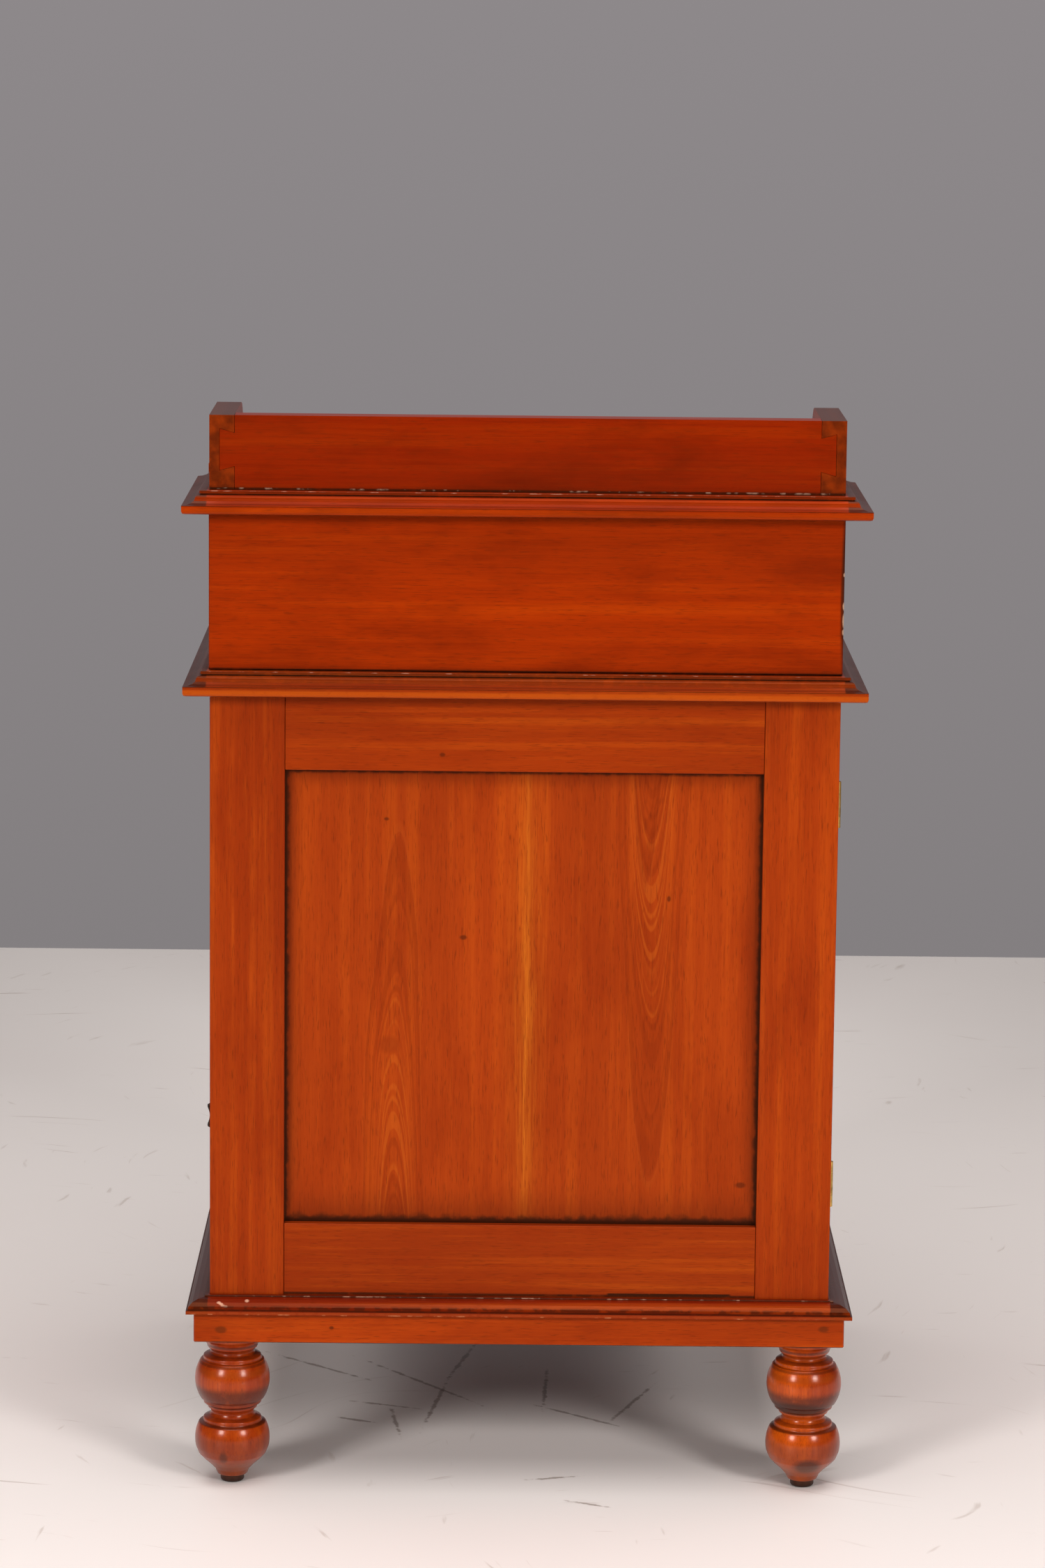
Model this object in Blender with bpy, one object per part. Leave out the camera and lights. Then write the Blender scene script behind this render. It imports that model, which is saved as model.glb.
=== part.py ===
"""Davenport desk: a pedestal with drawers and a cupboard, and a writing box that slides on it.

+X is the user's right, -Y is the user's side and +Z is up, in metres. The origin is on the
floor, under the middle of the desk.
"""

import math
from dataclasses import dataclass

import bmesh
import bpy
from mathutils import Matrix, Vector

mm = 0.001

# Fits
FIT = 0.3 * mm  # gap left between pieces that are glued, screwed or rest together
LAP = 1 * mm  # how far the boards of one glued piece run into each other
OVERRUN = 2 * mm  # how far a cut runs past the wood that it opens
EASE = 0.8 * mm  # eased edge of an outside board
SMALL_EASE = 0.4 * mm  # eased edge of a small or thin board

# Feet: each turned in one piece, with a dowel up into its corner block and a pad under it
FOOT_TALL = 126 * mm  # floor to shoulder, glide included
FOOT_RADIUS = 31 * mm
FOOT_INSET = 30.3 * mm  # middle of the foot, in from the plinth's outer faces
FOOT_DOWEL_RADIUS = 8 * mm
FOOT_DOWEL_TALL = 19 * mm
GLIDE_TALL = 6 * mm
GLIDE_RADIUS = 9.8 * mm
GLIDE_ROUND = 1.5 * mm

# Plinth: a frame of rails on the feet, with a moulding round the foot of the case
PLINTH_RAIL_TALL = 24.7 * mm
PLINTH_RAIL_THICK = 18 * mm
PLINTH_PROUD = 12.6 * mm  # rail's face, out from the case's face
CORNER_BLOCK_WIDE = 40 * mm
PLINTH_LIP_PROUD = 18.8 * mm
PLINTH_LIP_TALL = 3 * mm
PLINTH_MOULDING_TALL = 12.7 * mm
PLINTH_MOULDING_TOP_PROUD = 4 * mm
PLINTH_MOULDING_STEP = 1.2 * mm

# Pedestal case
CASE_WIDE = 509.4 * mm
CASE_DEEP = 498 * mm
CASE_TALL = 512.4 * mm
CASE_FRAME_THICK = 22 * mm
CASE_STILE_WIDE = 60.7 * mm
CASE_TOP_RAIL_TALL = 61.7 * mm
CASE_BOTTOM_RAIL_TALL = 73 * mm  # its lowest part stands behind the plinth moulding
CASE_PANEL_THICK = 8 * mm
CASE_PANEL_RECESS = 8 * mm
CASE_GROOVE_DEEP = 8 * mm
PANEL_ROOM = 1 * mm  # room in the groove for a panel to swell
TENON_SHOULDER = 6 * mm
BOTTOM_THICK = 18 * mm
PARTITION_THICK = 12 * mm
PARTITION_SHIFT = 49 * mm  # middle of the partition, to the left of the desk's middle
HOUSING_DEEP = 4 * mm
CASE_TOP_THICK = 22 * mm
SILL_TALL = 19.4 * mm  # rail under the cupboard door, glued on the bottom board
SILL_THICK = 20 * mm
SHELF_THICK = 12 * mm
SHELF_SET_BACK = 2 * mm

# Drawers of the pedestal, opening to the right
DRAWER_COUNT = 4
DIVIDER_THICK = 14 * mm
DRAWER_HEADROOM = 1.5 * mm
DRAWER_SIDE_ROOM = 0.8 * mm
DRAWER_BACK_ROOM = 8 * mm
DRAWER_FRONT_THICK = 18 * mm
DRAWER_SIDE_THICK = 9 * mm
DRAWER_SIDE_DROP = 4 * mm  # how far the sides stop below the front's top edge
DRAWER_BOTTOM_THICK = 5 * mm
DRAWER_BOTTOM_RISE = 7 * mm  # underside of the bottom, above the sides' lower edges
DRAWER_KNOB_RADIUS = 9 * mm
DRAWER_KNOB_LONG = 12.7 * mm

# Cupboard door, on the left
DOOR_GAP = 1.2 * mm
DOOR_THICK = 20 * mm
DOOR_STILE_WIDE = 48 * mm
DOOR_RAIL_TALL = 52 * mm
DOOR_PANEL_THICK = 7 * mm
DOOR_PANEL_RECESS = 7 * mm
DOOR_GROOVE_DEEP = 7 * mm
DOOR_KNOB_RADIUS = 11 * mm
DOOR_KNOB_LONG = 18 * mm

# Butt hinges, rolled from brass strip
HINGE_TALL = 38 * mm
HINGE_MIDDLE_TALL = 18.4 * mm
HINGE_LEAF_WIDE = 14.5 * mm
HINGE_LEAF_THICK = 1.1 * mm
HINGE_LEAF_SPLIT = 0.4 * mm  # between the closed leaves
HINGE_BARREL_RADIUS = 2.8 * mm
HINGE_BORE_RADIUS = 1.5 * mm
HINGE_PIN_RADIUS = 1.1 * mm
HINGE_PROUD = 0.4 * mm  # barrel's axis, out from the wood's face
DOOR_HINGE_FROM_END = 47.5 * mm  # end of the door to the hinge's near end
LID_HINGE_SPREAD = 150 * mm  # middle of each lid hinge from the desk's middle

# Lock of the lowest drawer, and its key
LOCK_WIDE = 44 * mm
LOCK_TALL = 36 * mm
LOCK_THICK = 9 * mm
LOCK_WALL = 2.3 * mm
LOCK_CHAMBER_RADIUS = 8.3 * mm
KEYHOLE_DROP = 20.7 * mm  # below the drawer front's top edge
KEYHOLE_RADIUS = 2.6 * mm
KEYHOLE_SLOT_WIDE = 3.4 * mm
KEYHOLE_SLOT_DEEP = 7.1 * mm
BOLT_TALL = 11 * mm
BOLT_THROW = 5 * mm
KEY_SHANK_RADIUS = 2 * mm
KEY_BIT_DEEP = 6.4 * mm
KEY_BIT_THICK = 2.2 * mm
KEY_BOW_HALF_TALL = 9.5 * mm  # to the middle of the bow's round bar
KEY_BOW_HALF_LONG = 4.2 * mm
KEY_BOW_SWELL = 5.5 * mm  # how far the two lobes bulge out
KEY_BOW_BAR = 1.5 * mm  # radius of the bow's round bar
KEY_NECK_LONG = 3.4 * mm  # between the drawer front and the bow's bar

# Moulded edge of the waist board and the top board
WAIST_THICK = 19 * mm
TOP_THICK = 18 * mm
LIP_PROUD = 20.8 * mm
LIP_ROUND = 2.5 * mm
COVE_DEEP = 10.3 * mm
COVE_TALL = 4.7 * mm
OVOLO_DEEP = 2.9 * mm
OVOLO_TALL = 2.7 * mm
QUIRK_DEEP = 1.6 * mm
QUIRK_TALL = 0.7 * mm
QUIRK_SLOPE = 0.2 * mm
FILLET_PROUD = 7 * mm
FILLET_TALL = 2.5 * mm

# Writing box
BOX_WIDE = 511 * mm
BOX_DEEP = CASE_DEEP  # the closed box stands flush with the case
BOX_TALL = 127.4 * mm
BOX_WALL = 15 * mm
BOX_BOTTOM_THICK = 10 * mm
FLAT_TOP_DEEP = 199.5 * mm  # from the back of the box to the lid's hinge line
RUNNER_SPREAD = 150 * mm  # middle of each runner from the desk's middle
RUNNER_LONG = 270 * mm
RUNNER_TALL = 8.7 * mm
RUNNER_NECK_WIDE = 20 * mm
RUNNER_FOOT_WIDE = 26 * mm
RUNNER_BACK_INSET = 49 * mm  # runner's back end, in from the box's back
RUNNER_SIDE_ROOM = 0.4 * mm
SLIDE_TRAVEL = 155 * mm
SLIDE_STOP_ROOM = 0.5 * mm

# Gallery on the top board
GALLERY_WIDE = 510 * mm
GALLERY_TALL = 59.7 * mm
GALLERY_THICK = 20 * mm
GALLERY_FLAT = 110 * mm  # level part of a side's top edge
GALLERY_SIDE_DEEP = 185 * mm
GALLERY_NOSE_TALL = 12 * mm
GALLERY_NOSE_LONG = 4 * mm
TAIL_LONG = 12 * mm  # the side laps the rest of its thickness over the tail's end
TAIL_END_TALL = 34 * mm
TAIL_ROOT_TALL = 27.4 * mm
TAIL_RISE = 15 * mm  # lower corner of the tail's end, above the board's lower edge

# Lid
LID_SLOPE_DEGREES = 14.5
LID_THICK = 16 * mm
LID_SIDE_OVERHANG = 12 * mm
LID_WIDE = BOX_WIDE + LID_SIDE_OVERHANG * 2
LID_FRONT_OVERHANG = 12 * mm
LID_NOSE_ROUND = 6 * mm
LEATHER_MARGIN = 32 * mm
LEATHER_RECESS = 1.2 * mm
LEATHER_THICK = 0.9 * mm
LEDGE_WIDE = 12 * mm
LEDGE_TALL = 8 * mm
LEDGE_MARGIN = 9 * mm

# Nest of small drawers inside the writing box
NEST_FRONT_SET_BACK = 11 * mm  # behind the lid's hinge line
NEST_BOARD_THICK = 8 * mm
NEST_SHELF_THICK = 6 * mm
NEST_MIDDLE_WIDE = 170 * mm
INNER_DRAWER_TALL = 54 * mm
INNER_DRAWER_ROOM = 0.8 * mm
INNER_DRAWER_FRONT_THICK = 10 * mm
INNER_DRAWER_WALL = 6 * mm
INNER_DRAWER_BOTTOM_THICK = 4 * mm
INNER_DRAWER_BACK_ROOM = 6 * mm
INNER_KNOB_RADIUS = 6.5 * mm
INNER_KNOB_LONG = 12 * mm

# Turns in degrees, and how finely round work is drawn
QUARTER = 90
HALF = QUARTER * 2
WHOLE = HALF * 2
FOOT_SIDES = 18
KNOB_SIDES = 14
PIN_SIDES = 12
ARC_STEPS = 4
CURVE_STEPS = 8
SHARP_DEGREES = 40
MERGE = 0.001 * mm

# Shares of the foot's radius and of its turned height, from the toe up
FOOT_TOE_SHARE = 0.40
FOOT_ONION_SHARES = (0.958, 0.2)
FOOT_LOWER_BALL_SHARES = (0.2, 0.258, 0.375)
FOOT_MIDDLE_RING_SHARES = (
    (0.774, 0.383),
    (0.774, 0.408),
    (0.61, 0.426),
    (0.565, 0.45),
    (0.60, 0.471),
    (0.665, 0.482),
    (0.665, 0.5),
    (0.774, 0.514),
    (0.774, 0.537),
)
FOOT_UPPER_BALL_SHARES = (0.546, 0.683, 0.821)
FOOT_TOP_RING_SHARES = (
    (0.774, 0.827),
    (0.774, 0.85),
    (0.60, 0.867),
    (0.565, 0.883),
    (0.60, 0.9),
    (0.665, 0.91),
    (0.69, 0.932),
    (0.75, 0.958),
    (0.86, 0.98),
    (0.871, 1.0),
)

# Shares of a knob's radius and length, from its seat out
KNOB_SHARES = (
    (0.0, 0.0),
    (0.72, 0.0),
    (0.72, 0.10),
    (0.46, 0.20),
    (0.46, 0.34),
    (0.86, 0.52),
    (1.0, 0.70),
    (0.88, 0.88),
    (0.45, 0.98),
    (0.0, 1.0),
)

# Finishes: colour, roughness and metallic value
FINISHES = {
    "mahogany": ("#9A3E12", 0.32, 0.0),
    "panel_mahogany": ("#A04716", 0.32, 0.0),
    "lining": ("#B98A58", 0.65, 0.0),
    "brass": ("#C79A4A", 0.3, 1.0),
    "steel": ("#77726A", 0.4, 1.0),
    "iron": ("#2B2622", 0.55, 1.0),
    "leather": ("#2E4A36", 0.5, 0.0),
    "glide": ("#1E1B19", 0.6, 0.0),
}

# Levels, from the floor up
plinth_low = FOOT_TALL + FIT
plinth_high = plinth_low + PLINTH_RAIL_TALL
case_low = plinth_high + FIT
case_high = case_low + CASE_TALL
bottom_high = case_low + BOTTOM_THICK
waist_low = case_high + FIT
waist_high = waist_low + WAIST_THICK
box_low = waist_high + FIT
box_high = box_low + BOX_TALL
top_low = box_high + FIT
top_high = top_low + TOP_THICK
gallery_low = top_high + FIT
gallery_high = gallery_low + GALLERY_TALL

# Places across and along the desk
case_x = CASE_WIDE / 2
case_y = CASE_DEEP / 2
plinth_x = case_x + PLINTH_PROUD
plinth_y = case_y + PLINTH_PROUD
inner_y = case_y - CASE_FRAME_THICK  # inner faces of the front and back frames
partition_left = -PARTITION_SHIFT - PARTITION_THICK / 2
partition_right = partition_left + PARTITION_THICK
box_x = BOX_WIDE / 2
box_y = BOX_DEEP / 2
box_inner_x = box_x - BOX_WALL
box_inner_y = box_y - BOX_WALL
flat_front = box_y - FLAT_TOP_DEEP
lid_back = flat_front - DOOR_GAP
lid_slope = math.radians(LID_SLOPE_DEGREES)


def clear_scene():
    for old in list(bpy.data.objects):
        bpy.data.objects.remove(old, do_unlink=True)


def linear(code):
    """The linear value of an sRGB hex colour."""
    parts = [int(code[place : place + 2], 16) / 255 for place in (1, 3, 5)]
    return [part / 12.92 if part <= 0.04045 else ((part + 0.055) / 1.055) ** 2.4 for part in parts]


def finish_material(name, finish):
    code, roughness, metallic = FINISHES[finish]
    material = bpy.data.materials.new(name + "_finish")
    material.use_nodes = True
    shader = material.node_tree.nodes["Principled BSDF"]
    shader.inputs["Base Color"].default_value = (*linear(code), 1)
    shader.inputs["Roughness"].default_value = roughness
    shader.inputs["Metallic"].default_value = metallic
    material.diffuse_color = (*linear(code), 1)
    return material


def add_box(shape, x, y, z):
    """A box between two places on each axis."""
    size = [end - start for start, end in (x, y, z)]
    middle = [(end + start) / 2 for start, end in (x, y, z)]
    bmesh.ops.create_cube(shape, size=1, matrix=Matrix.LocRotScale(middle, None, size))


def add_prism(shape, outline, along, start, end, place=None):
    """An outline pushed along X, Y or Z: its points are (y, z), (x, z) or (x, y)."""
    order = {"X": (2, 0, 1), "Y": (0, 2, 1), "Z": (0, 1, 2)}[along]

    def corner(first, second, depth):
        values = (first, second, depth)
        return Vector([values[index] for index in order])

    face = shape.faces.new([shape.verts.new(corner(a, b, start)) for a, b in outline])
    pushed = bmesh.ops.extrude_face_region(shape, geom=[face])["geom"]
    far = [item for item in pushed if isinstance(item, bmesh.types.BMVert)]
    bmesh.ops.translate(shape, verts=far, vec=corner(0, 0, end) - corner(0, 0, start))
    if place:
        bmesh.ops.transform(shape, matrix=place, verts=far + list(face.verts))


def add_turning(shape, profile, sides, place):
    """A profile of (radius, height) points turned about Z, then moved to its place."""
    before = set(shape.verts)
    points = [shape.verts.new((radius, 0, height)) for radius, height in profile]
    lines = [shape.edges.new(pair) for pair in zip(points, points[1:])]
    bmesh.ops.spin(
        shape,
        geom=points + lines,
        cent=(0, 0, 0),
        axis=(0, 0, 1),
        angle=math.tau,
        steps=sides,
        use_merge=True,
    )
    turned = [point for point in shape.verts if point not in before]
    bmesh.ops.remove_doubles(shape, verts=turned, dist=MERGE)
    turned = [point for point in shape.verts if point not in before]
    bmesh.ops.transform(shape, matrix=place, verts=turned)


def add_rings(shape, rings, closed=False):
    """Rings of corners joined into one skin: capped at both ends, or closed on itself."""
    loops = [[shape.verts.new(corner) for corner in ring] for ring in rings]
    pairs = list(zip(loops, loops[1:]))
    if closed:
        pairs.append((loops[-1], loops[0]))
    else:
        shape.faces.new(loops[0])
        shape.faces.new(loops[-1])
    for lower, upper in pairs:
        for index in range(len(lower)):
            after = (index + 1) % len(lower)
            shape.faces.new((lower[index], lower[after], upper[after], upper[index]))


def make(name, shape, finish, ease=0, smooth=False, pivot=None):
    """The finished object of one sub-part, with its origin on the pivot that it moves about."""
    bmesh.ops.recalc_face_normals(shape, faces=shape.faces)
    mesh = bpy.data.meshes.new(name)
    shape.to_mesh(mesh)
    shape.free()
    piece = bpy.data.objects.new(name, mesh)
    bpy.context.scene.collection.objects.link(piece)
    mesh.materials.append(finish_material(name, finish))
    if smooth:
        mesh.shade_smooth()
        mesh.set_sharp_from_angle(angle=math.radians(SHARP_DEGREES))
    if ease:
        bevel = piece.modifiers.new("eased_edges", "BEVEL")
        bevel.width = ease
        bevel.segments = 1
        bevel.limit_method = "ANGLE"
    if pivot:
        mesh.transform(Matrix.Translation(-pivot.location))
        piece.parent = pivot
    return piece


def boards(name, finish, *places, ease=EASE, pivot=None):
    """One sub-part of one or more plain boards, each given by its places on X, Y and Z."""
    shape = bmesh.new()
    for x, y, z in places:
        add_box(shape, x, y, z)
    return make(name, shape, finish, ease=ease, pivot=pivot)


def helper(name, shape):
    """A solid that cuts or joins another, and isn't part of the desk by itself."""
    bmesh.ops.recalc_face_normals(shape, faces=shape.faces)
    mesh = bpy.data.meshes.new(name)
    shape.to_mesh(mesh)
    shape.free()
    tool = bpy.data.objects.new(name, mesh)
    bpy.context.scene.collection.objects.link(tool)
    tool.hide_render = True
    tool.display_type = "WIRE"
    return tool


def combine(piece, tool, operation):
    boolean = piece.modifiers.new(tool.name, "BOOLEAN")
    boolean.operation = operation
    boolean.solver = "EXACT"
    boolean.object = tool


def new_pivot(name, x, y, z):
    pivot = bpy.data.objects.new(name, None)
    pivot.location = (x, y, z)
    bpy.context.scene.collection.objects.link(pivot)
    return pivot


def arc(centre, radii, start_degrees, end_degrees, steps):
    """Points on part of an ellipse, both ends included."""
    points = []
    for step in range(steps + 1):
        turn = math.radians(start_degrees + (end_degrees - start_degrees) * step / steps)
        points.append((centre[0] + radii[0] * math.cos(turn), centre[1] + radii[1] * math.sin(turn)))
    return points


def both(half, inset=0):
    """The two places of a symmetrical span."""
    return (-half + inset, half - inset)


# Feet and plinth


def foot_profile():
    """Outline of the foot, (radius, height) from the pad on the floor up to the dowel's end."""
    tall = FOOT_TALL - GLIDE_TALL

    def ball(shares, steps):
        low, middle, high = shares
        points = []
        for step in range(steps + 1):
            height = low + (high - low) * step / steps
            reach = (height - middle) * tall / FOOT_RADIUS
            points.append((FOOT_RADIUS * math.sqrt(1 - reach * reach), GLIDE_TALL + height * tall))
        return points

    profile = [(0, 0), (GLIDE_RADIUS - GLIDE_ROUND, 0), (GLIDE_RADIUS, GLIDE_ROUND)]
    profile += [(GLIDE_RADIUS, GLIDE_TALL)]
    wide_share, high_share = FOOT_ONION_SHARES
    for step in range(ARC_STEPS + 1):
        share = step / (ARC_STEPS + 1)
        swell = share * share * (3 - 2 * share)
        radius = FOOT_TOE_SHARE + (wide_share - FOOT_TOE_SHARE) * swell
        profile.append((FOOT_RADIUS * radius, GLIDE_TALL + tall * high_share * share))
    profile += ball(FOOT_LOWER_BALL_SHARES, ARC_STEPS)
    profile += [(FOOT_RADIUS * r, GLIDE_TALL + tall * h) for r, h in FOOT_MIDDLE_RING_SHARES]
    profile += ball(FOOT_UPPER_BALL_SHARES, ARC_STEPS + 2)
    profile += [(FOOT_RADIUS * r, GLIDE_TALL + tall * h) for r, h in FOOT_TOP_RING_SHARES]
    dowel_high = FOOT_TALL + FOOT_DOWEL_TALL
    profile += [(FOOT_DOWEL_RADIUS, FOOT_TALL), (FOOT_DOWEL_RADIUS, dowel_high), (0, dowel_high)]
    return profile


def foot_places():
    foot_x = plinth_x - FOOT_INSET
    foot_y = plinth_y - FOOT_INSET
    return {
        "back_left": (-foot_x, foot_y),
        "back_right": (foot_x, foot_y),
        "front_left": (-foot_x, -foot_y),
        "front_right": (foot_x, -foot_y),
    }


def build_feet():
    for corner, (x, y) in foot_places().items():
        foot = bmesh.new()
        add_turning(foot, foot_profile(), FOOT_SIDES, Matrix.Translation((x, y, 0)))
        make("foot_" + corner, foot, "mahogany", smooth=True)


def build_plinth():
    """Back rail, the other three rails glued up with the corner blocks, and the moulding."""
    height = (plinth_low, plinth_high)
    edge_x = plinth_x - PLINTH_RAIL_THICK
    edge_y = plinth_y - PLINTH_RAIL_THICK
    boards("plinth_rail_back", "mahogany", (both(plinth_x), (edge_y, plinth_y), height))
    end_y = edge_y - FIT
    block_x = edge_x - CORNER_BLOCK_WIDE
    block_y = end_y - CORNER_BLOCK_WIDE
    half = [(plinth_x, -plinth_y), (plinth_x, end_y), (block_x, end_y), (block_x, block_y)]
    half += [(edge_x, block_y), (edge_x, -block_y), (block_x, -block_y), (block_x, -edge_y)]
    outline = half + [(-x, y) for x, y in reversed(half)]
    frame = bmesh.new()
    add_prism(frame, outline, "Z", *height)
    frame = make("plinth_frame", frame, "mahogany", ease=SMALL_EASE)
    bores = bmesh.new()
    radius = FOOT_DOWEL_RADIUS + FIT
    bore = [(0, plinth_low - OVERRUN), (radius, plinth_low - OVERRUN)]
    bore += [(radius, plinth_high + OVERRUN), (0, plinth_high + OVERRUN)]
    for x, y in foot_places().values():
        add_turning(bores, bore, FOOT_SIDES, Matrix.Translation((x, y, 0)))
    combine(frame, helper("dowel_bores", bores), "DIFFERENCE")

    shoulder = PLINTH_LIP_PROUD - PLINTH_MOULDING_STEP
    round_tall = PLINTH_MOULDING_TALL - PLINTH_LIP_TALL - PLINTH_MOULDING_STEP
    round_deep = shoulder - PLINTH_MOULDING_TOP_PROUD
    profile = [(FIT, 0), (PLINTH_LIP_PROUD, 0), (PLINTH_LIP_PROUD, PLINTH_LIP_TALL)]
    profile += arc(
        (PLINTH_MOULDING_TOP_PROUD, PLINTH_LIP_TALL), (round_deep, round_tall), 0, QUARTER, ARC_STEPS
    )
    profile += [(PLINTH_MOULDING_TOP_PROUD, PLINTH_MOULDING_TALL), (FIT, PLINTH_MOULDING_TALL)]
    corners = []
    for side_x, side_y in ((1, 1), (-1, 1), (-1, -1), (1, -1)):
        corner = [
            (side_x * (case_x + proud), side_y * (case_y + proud), case_low + rise)
            for proud, rise in profile
        ]
        corners.append(corner)
    moulding = bmesh.new()
    add_rings(moulding, corners, closed=True)
    make("plinth_moulding", moulding, "mahogany")


# Frames with a panel in their grooves


@dataclass
class Frame:
    """A frame seen from its face: across is X, out of the face is Y, and up is Z."""

    half: float
    low: float
    high: float
    thick: float
    stile: float
    top_rail: float
    bottom_rail: float
    panel_thick: float
    recess: float
    groove: float
    place: Matrix

    @property
    def groove_y(self):
        return (-self.recess - self.panel_thick - FIT, -self.recess + FIT)

    def add_stile(self, shape, side):
        outer = side * self.half
        edge = side * (self.half - self.stile)
        root = edge + side * self.groove
        inner_y, outer_y = self.groove_y
        outline = [(outer, -self.thick), (outer, 0), (edge, 0), (edge, outer_y), (root, outer_y)]
        outline += [(root, inner_y), (edge, inner_y), (edge, -self.thick)]
        add_prism(shape, outline, "Z", self.low, self.high, self.place)

    def add_rail(self, shape, top):
        far = self.high if top else self.low
        edge = self.high - self.top_rail if top else self.low + self.bottom_rail
        root = edge + math.copysign(self.groove, far - edge)
        inner_y, outer_y = self.groove_y
        outline = [(-self.thick, far), (0, far), (0, edge), (outer_y, edge), (outer_y, root)]
        outline += [(inner_y, root), (inner_y, edge), (-self.thick, edge)]
        half = self.half - self.stile - FIT
        add_prism(shape, outline, "X", -half, half, self.place)

    def add_tenon(self, shape, top):
        """The tenons at both ends of a rail, which run through it as one tongue."""
        far = self.high - TENON_SHOULDER if top else self.low + TENON_SHOULDER
        edge = self.high - self.top_rail if top else self.low + self.bottom_rail
        near = edge + math.copysign(self.groove + TENON_SHOULDER, far - edge)
        half = self.half - self.stile + self.groove - FIT
        inner_y, outer_y = self.groove_y
        outline = [(inner_y + FIT, near), (outer_y - FIT, near)]
        outline += [(outer_y - FIT, far), (inner_y + FIT, far)]
        add_prism(shape, outline, "X", -half, half, self.place)

    def add_whole(self, shape):
        """Both stiles and both rails as one glued piece, its groove on all four sides."""
        inner_y, outer_y = self.groove_y
        edge = (self.stile, self.bottom_rail, self.top_rail)
        root = tuple(wide - self.groove for wide in edge)
        far = (0, 0, 0)
        section = [(far, -self.thick), (far, 0), (edge, 0), (edge, outer_y), (root, outer_y)]
        section += [(root, inner_y), (edge, inner_y), (edge, -self.thick)]
        corners = []
        for side, top in ((-1, False), (1, False), (1, True), (-1, True)):
            corner = []
            for (stile, bottom, upper), y in section:
                level = self.high - upper if top else self.low + bottom
                corner.append(self.place @ Vector((side * (self.half - stile), y, level)))
            corners.append(corner)
        add_rings(shape, corners, closed=True)

    def add_panel(self, shape):
        half = self.half - self.stile + self.groove - PANEL_ROOM
        low = self.low + self.bottom_rail - self.groove + PANEL_ROOM
        high = self.high - self.top_rail + self.groove - PANEL_ROOM
        face = -self.recess
        outline = [(-half, low), (half, low), (half, high), (-half, high)]
        add_prism(shape, outline, "Y", face - self.panel_thick, face, self.place)


def case_frame(turn_degrees):
    out = Matrix.Translation((0, case_y, 0))
    return Frame(
        half=case_x,
        low=case_low,
        high=case_high,
        thick=CASE_FRAME_THICK,
        stile=CASE_STILE_WIDE,
        top_rail=CASE_TOP_RAIL_TALL,
        bottom_rail=CASE_BOTTOM_RAIL_TALL,
        panel_thick=CASE_PANEL_THICK,
        recess=CASE_PANEL_RECESS,
        groove=CASE_GROOVE_DEEP,
        place=Matrix.Rotation(math.radians(turn_degrees), 4, "Z") @ out,
    )


def build_whole_frame(frame, name, pivot=None):
    """A glued frame as one sub-part, and its loose panel."""
    wood = bmesh.new()
    frame.add_whole(wood)
    joined = make(name + "_frame", wood, "mahogany", ease=SMALL_EASE, pivot=pivot)
    panel = bmesh.new()
    frame.add_panel(panel)
    make(name + "_panel", panel, "panel_mahogany", pivot=pivot)
    return joined


def build_back_frame():
    """The back of the pedestal, one sub-part for each of its five pieces."""
    frame = case_frame(0)
    stiles = {}
    for name, side in (("back_stile_left", -1), ("back_stile_right", 1)):
        stile = bmesh.new()
        frame.add_stile(stile, side)
        stiles[name] = make(name, stile, "mahogany", ease=SMALL_EASE)
    for name, top in (("back_rail_top", True), ("back_rail_bottom", False)):
        rail = bmesh.new()
        tenon = bmesh.new()
        frame.add_rail(rail, top)
        frame.add_tenon(tenon, top)
        piece = make(name, rail, "mahogany", ease=SMALL_EASE)
        combine(piece, helper(name + "_tenon", tenon), "UNION")
    panel = bmesh.new()
    frame.add_panel(panel)
    make("back_panel", panel, "panel_mahogany")
    return stiles["back_stile_left"]


# Inside of the pedestal


def opening_tall():
    """Clear height of each drawer's opening."""
    space = case_high - CASE_TOP_THICK - bottom_high
    return (space - (DRAWER_COUNT - 1) * DIVIDER_THICK) / DRAWER_COUNT


def opening_low(number):
    """Lower edge of an opening. Drawer 1 is the highest."""
    return bottom_high + (DRAWER_COUNT - number) * (opening_tall() + DIVIDER_THICK)


def shelf_low():
    return (bottom_high + case_high - CASE_TOP_THICK - SHELF_THICK) / 2


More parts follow.
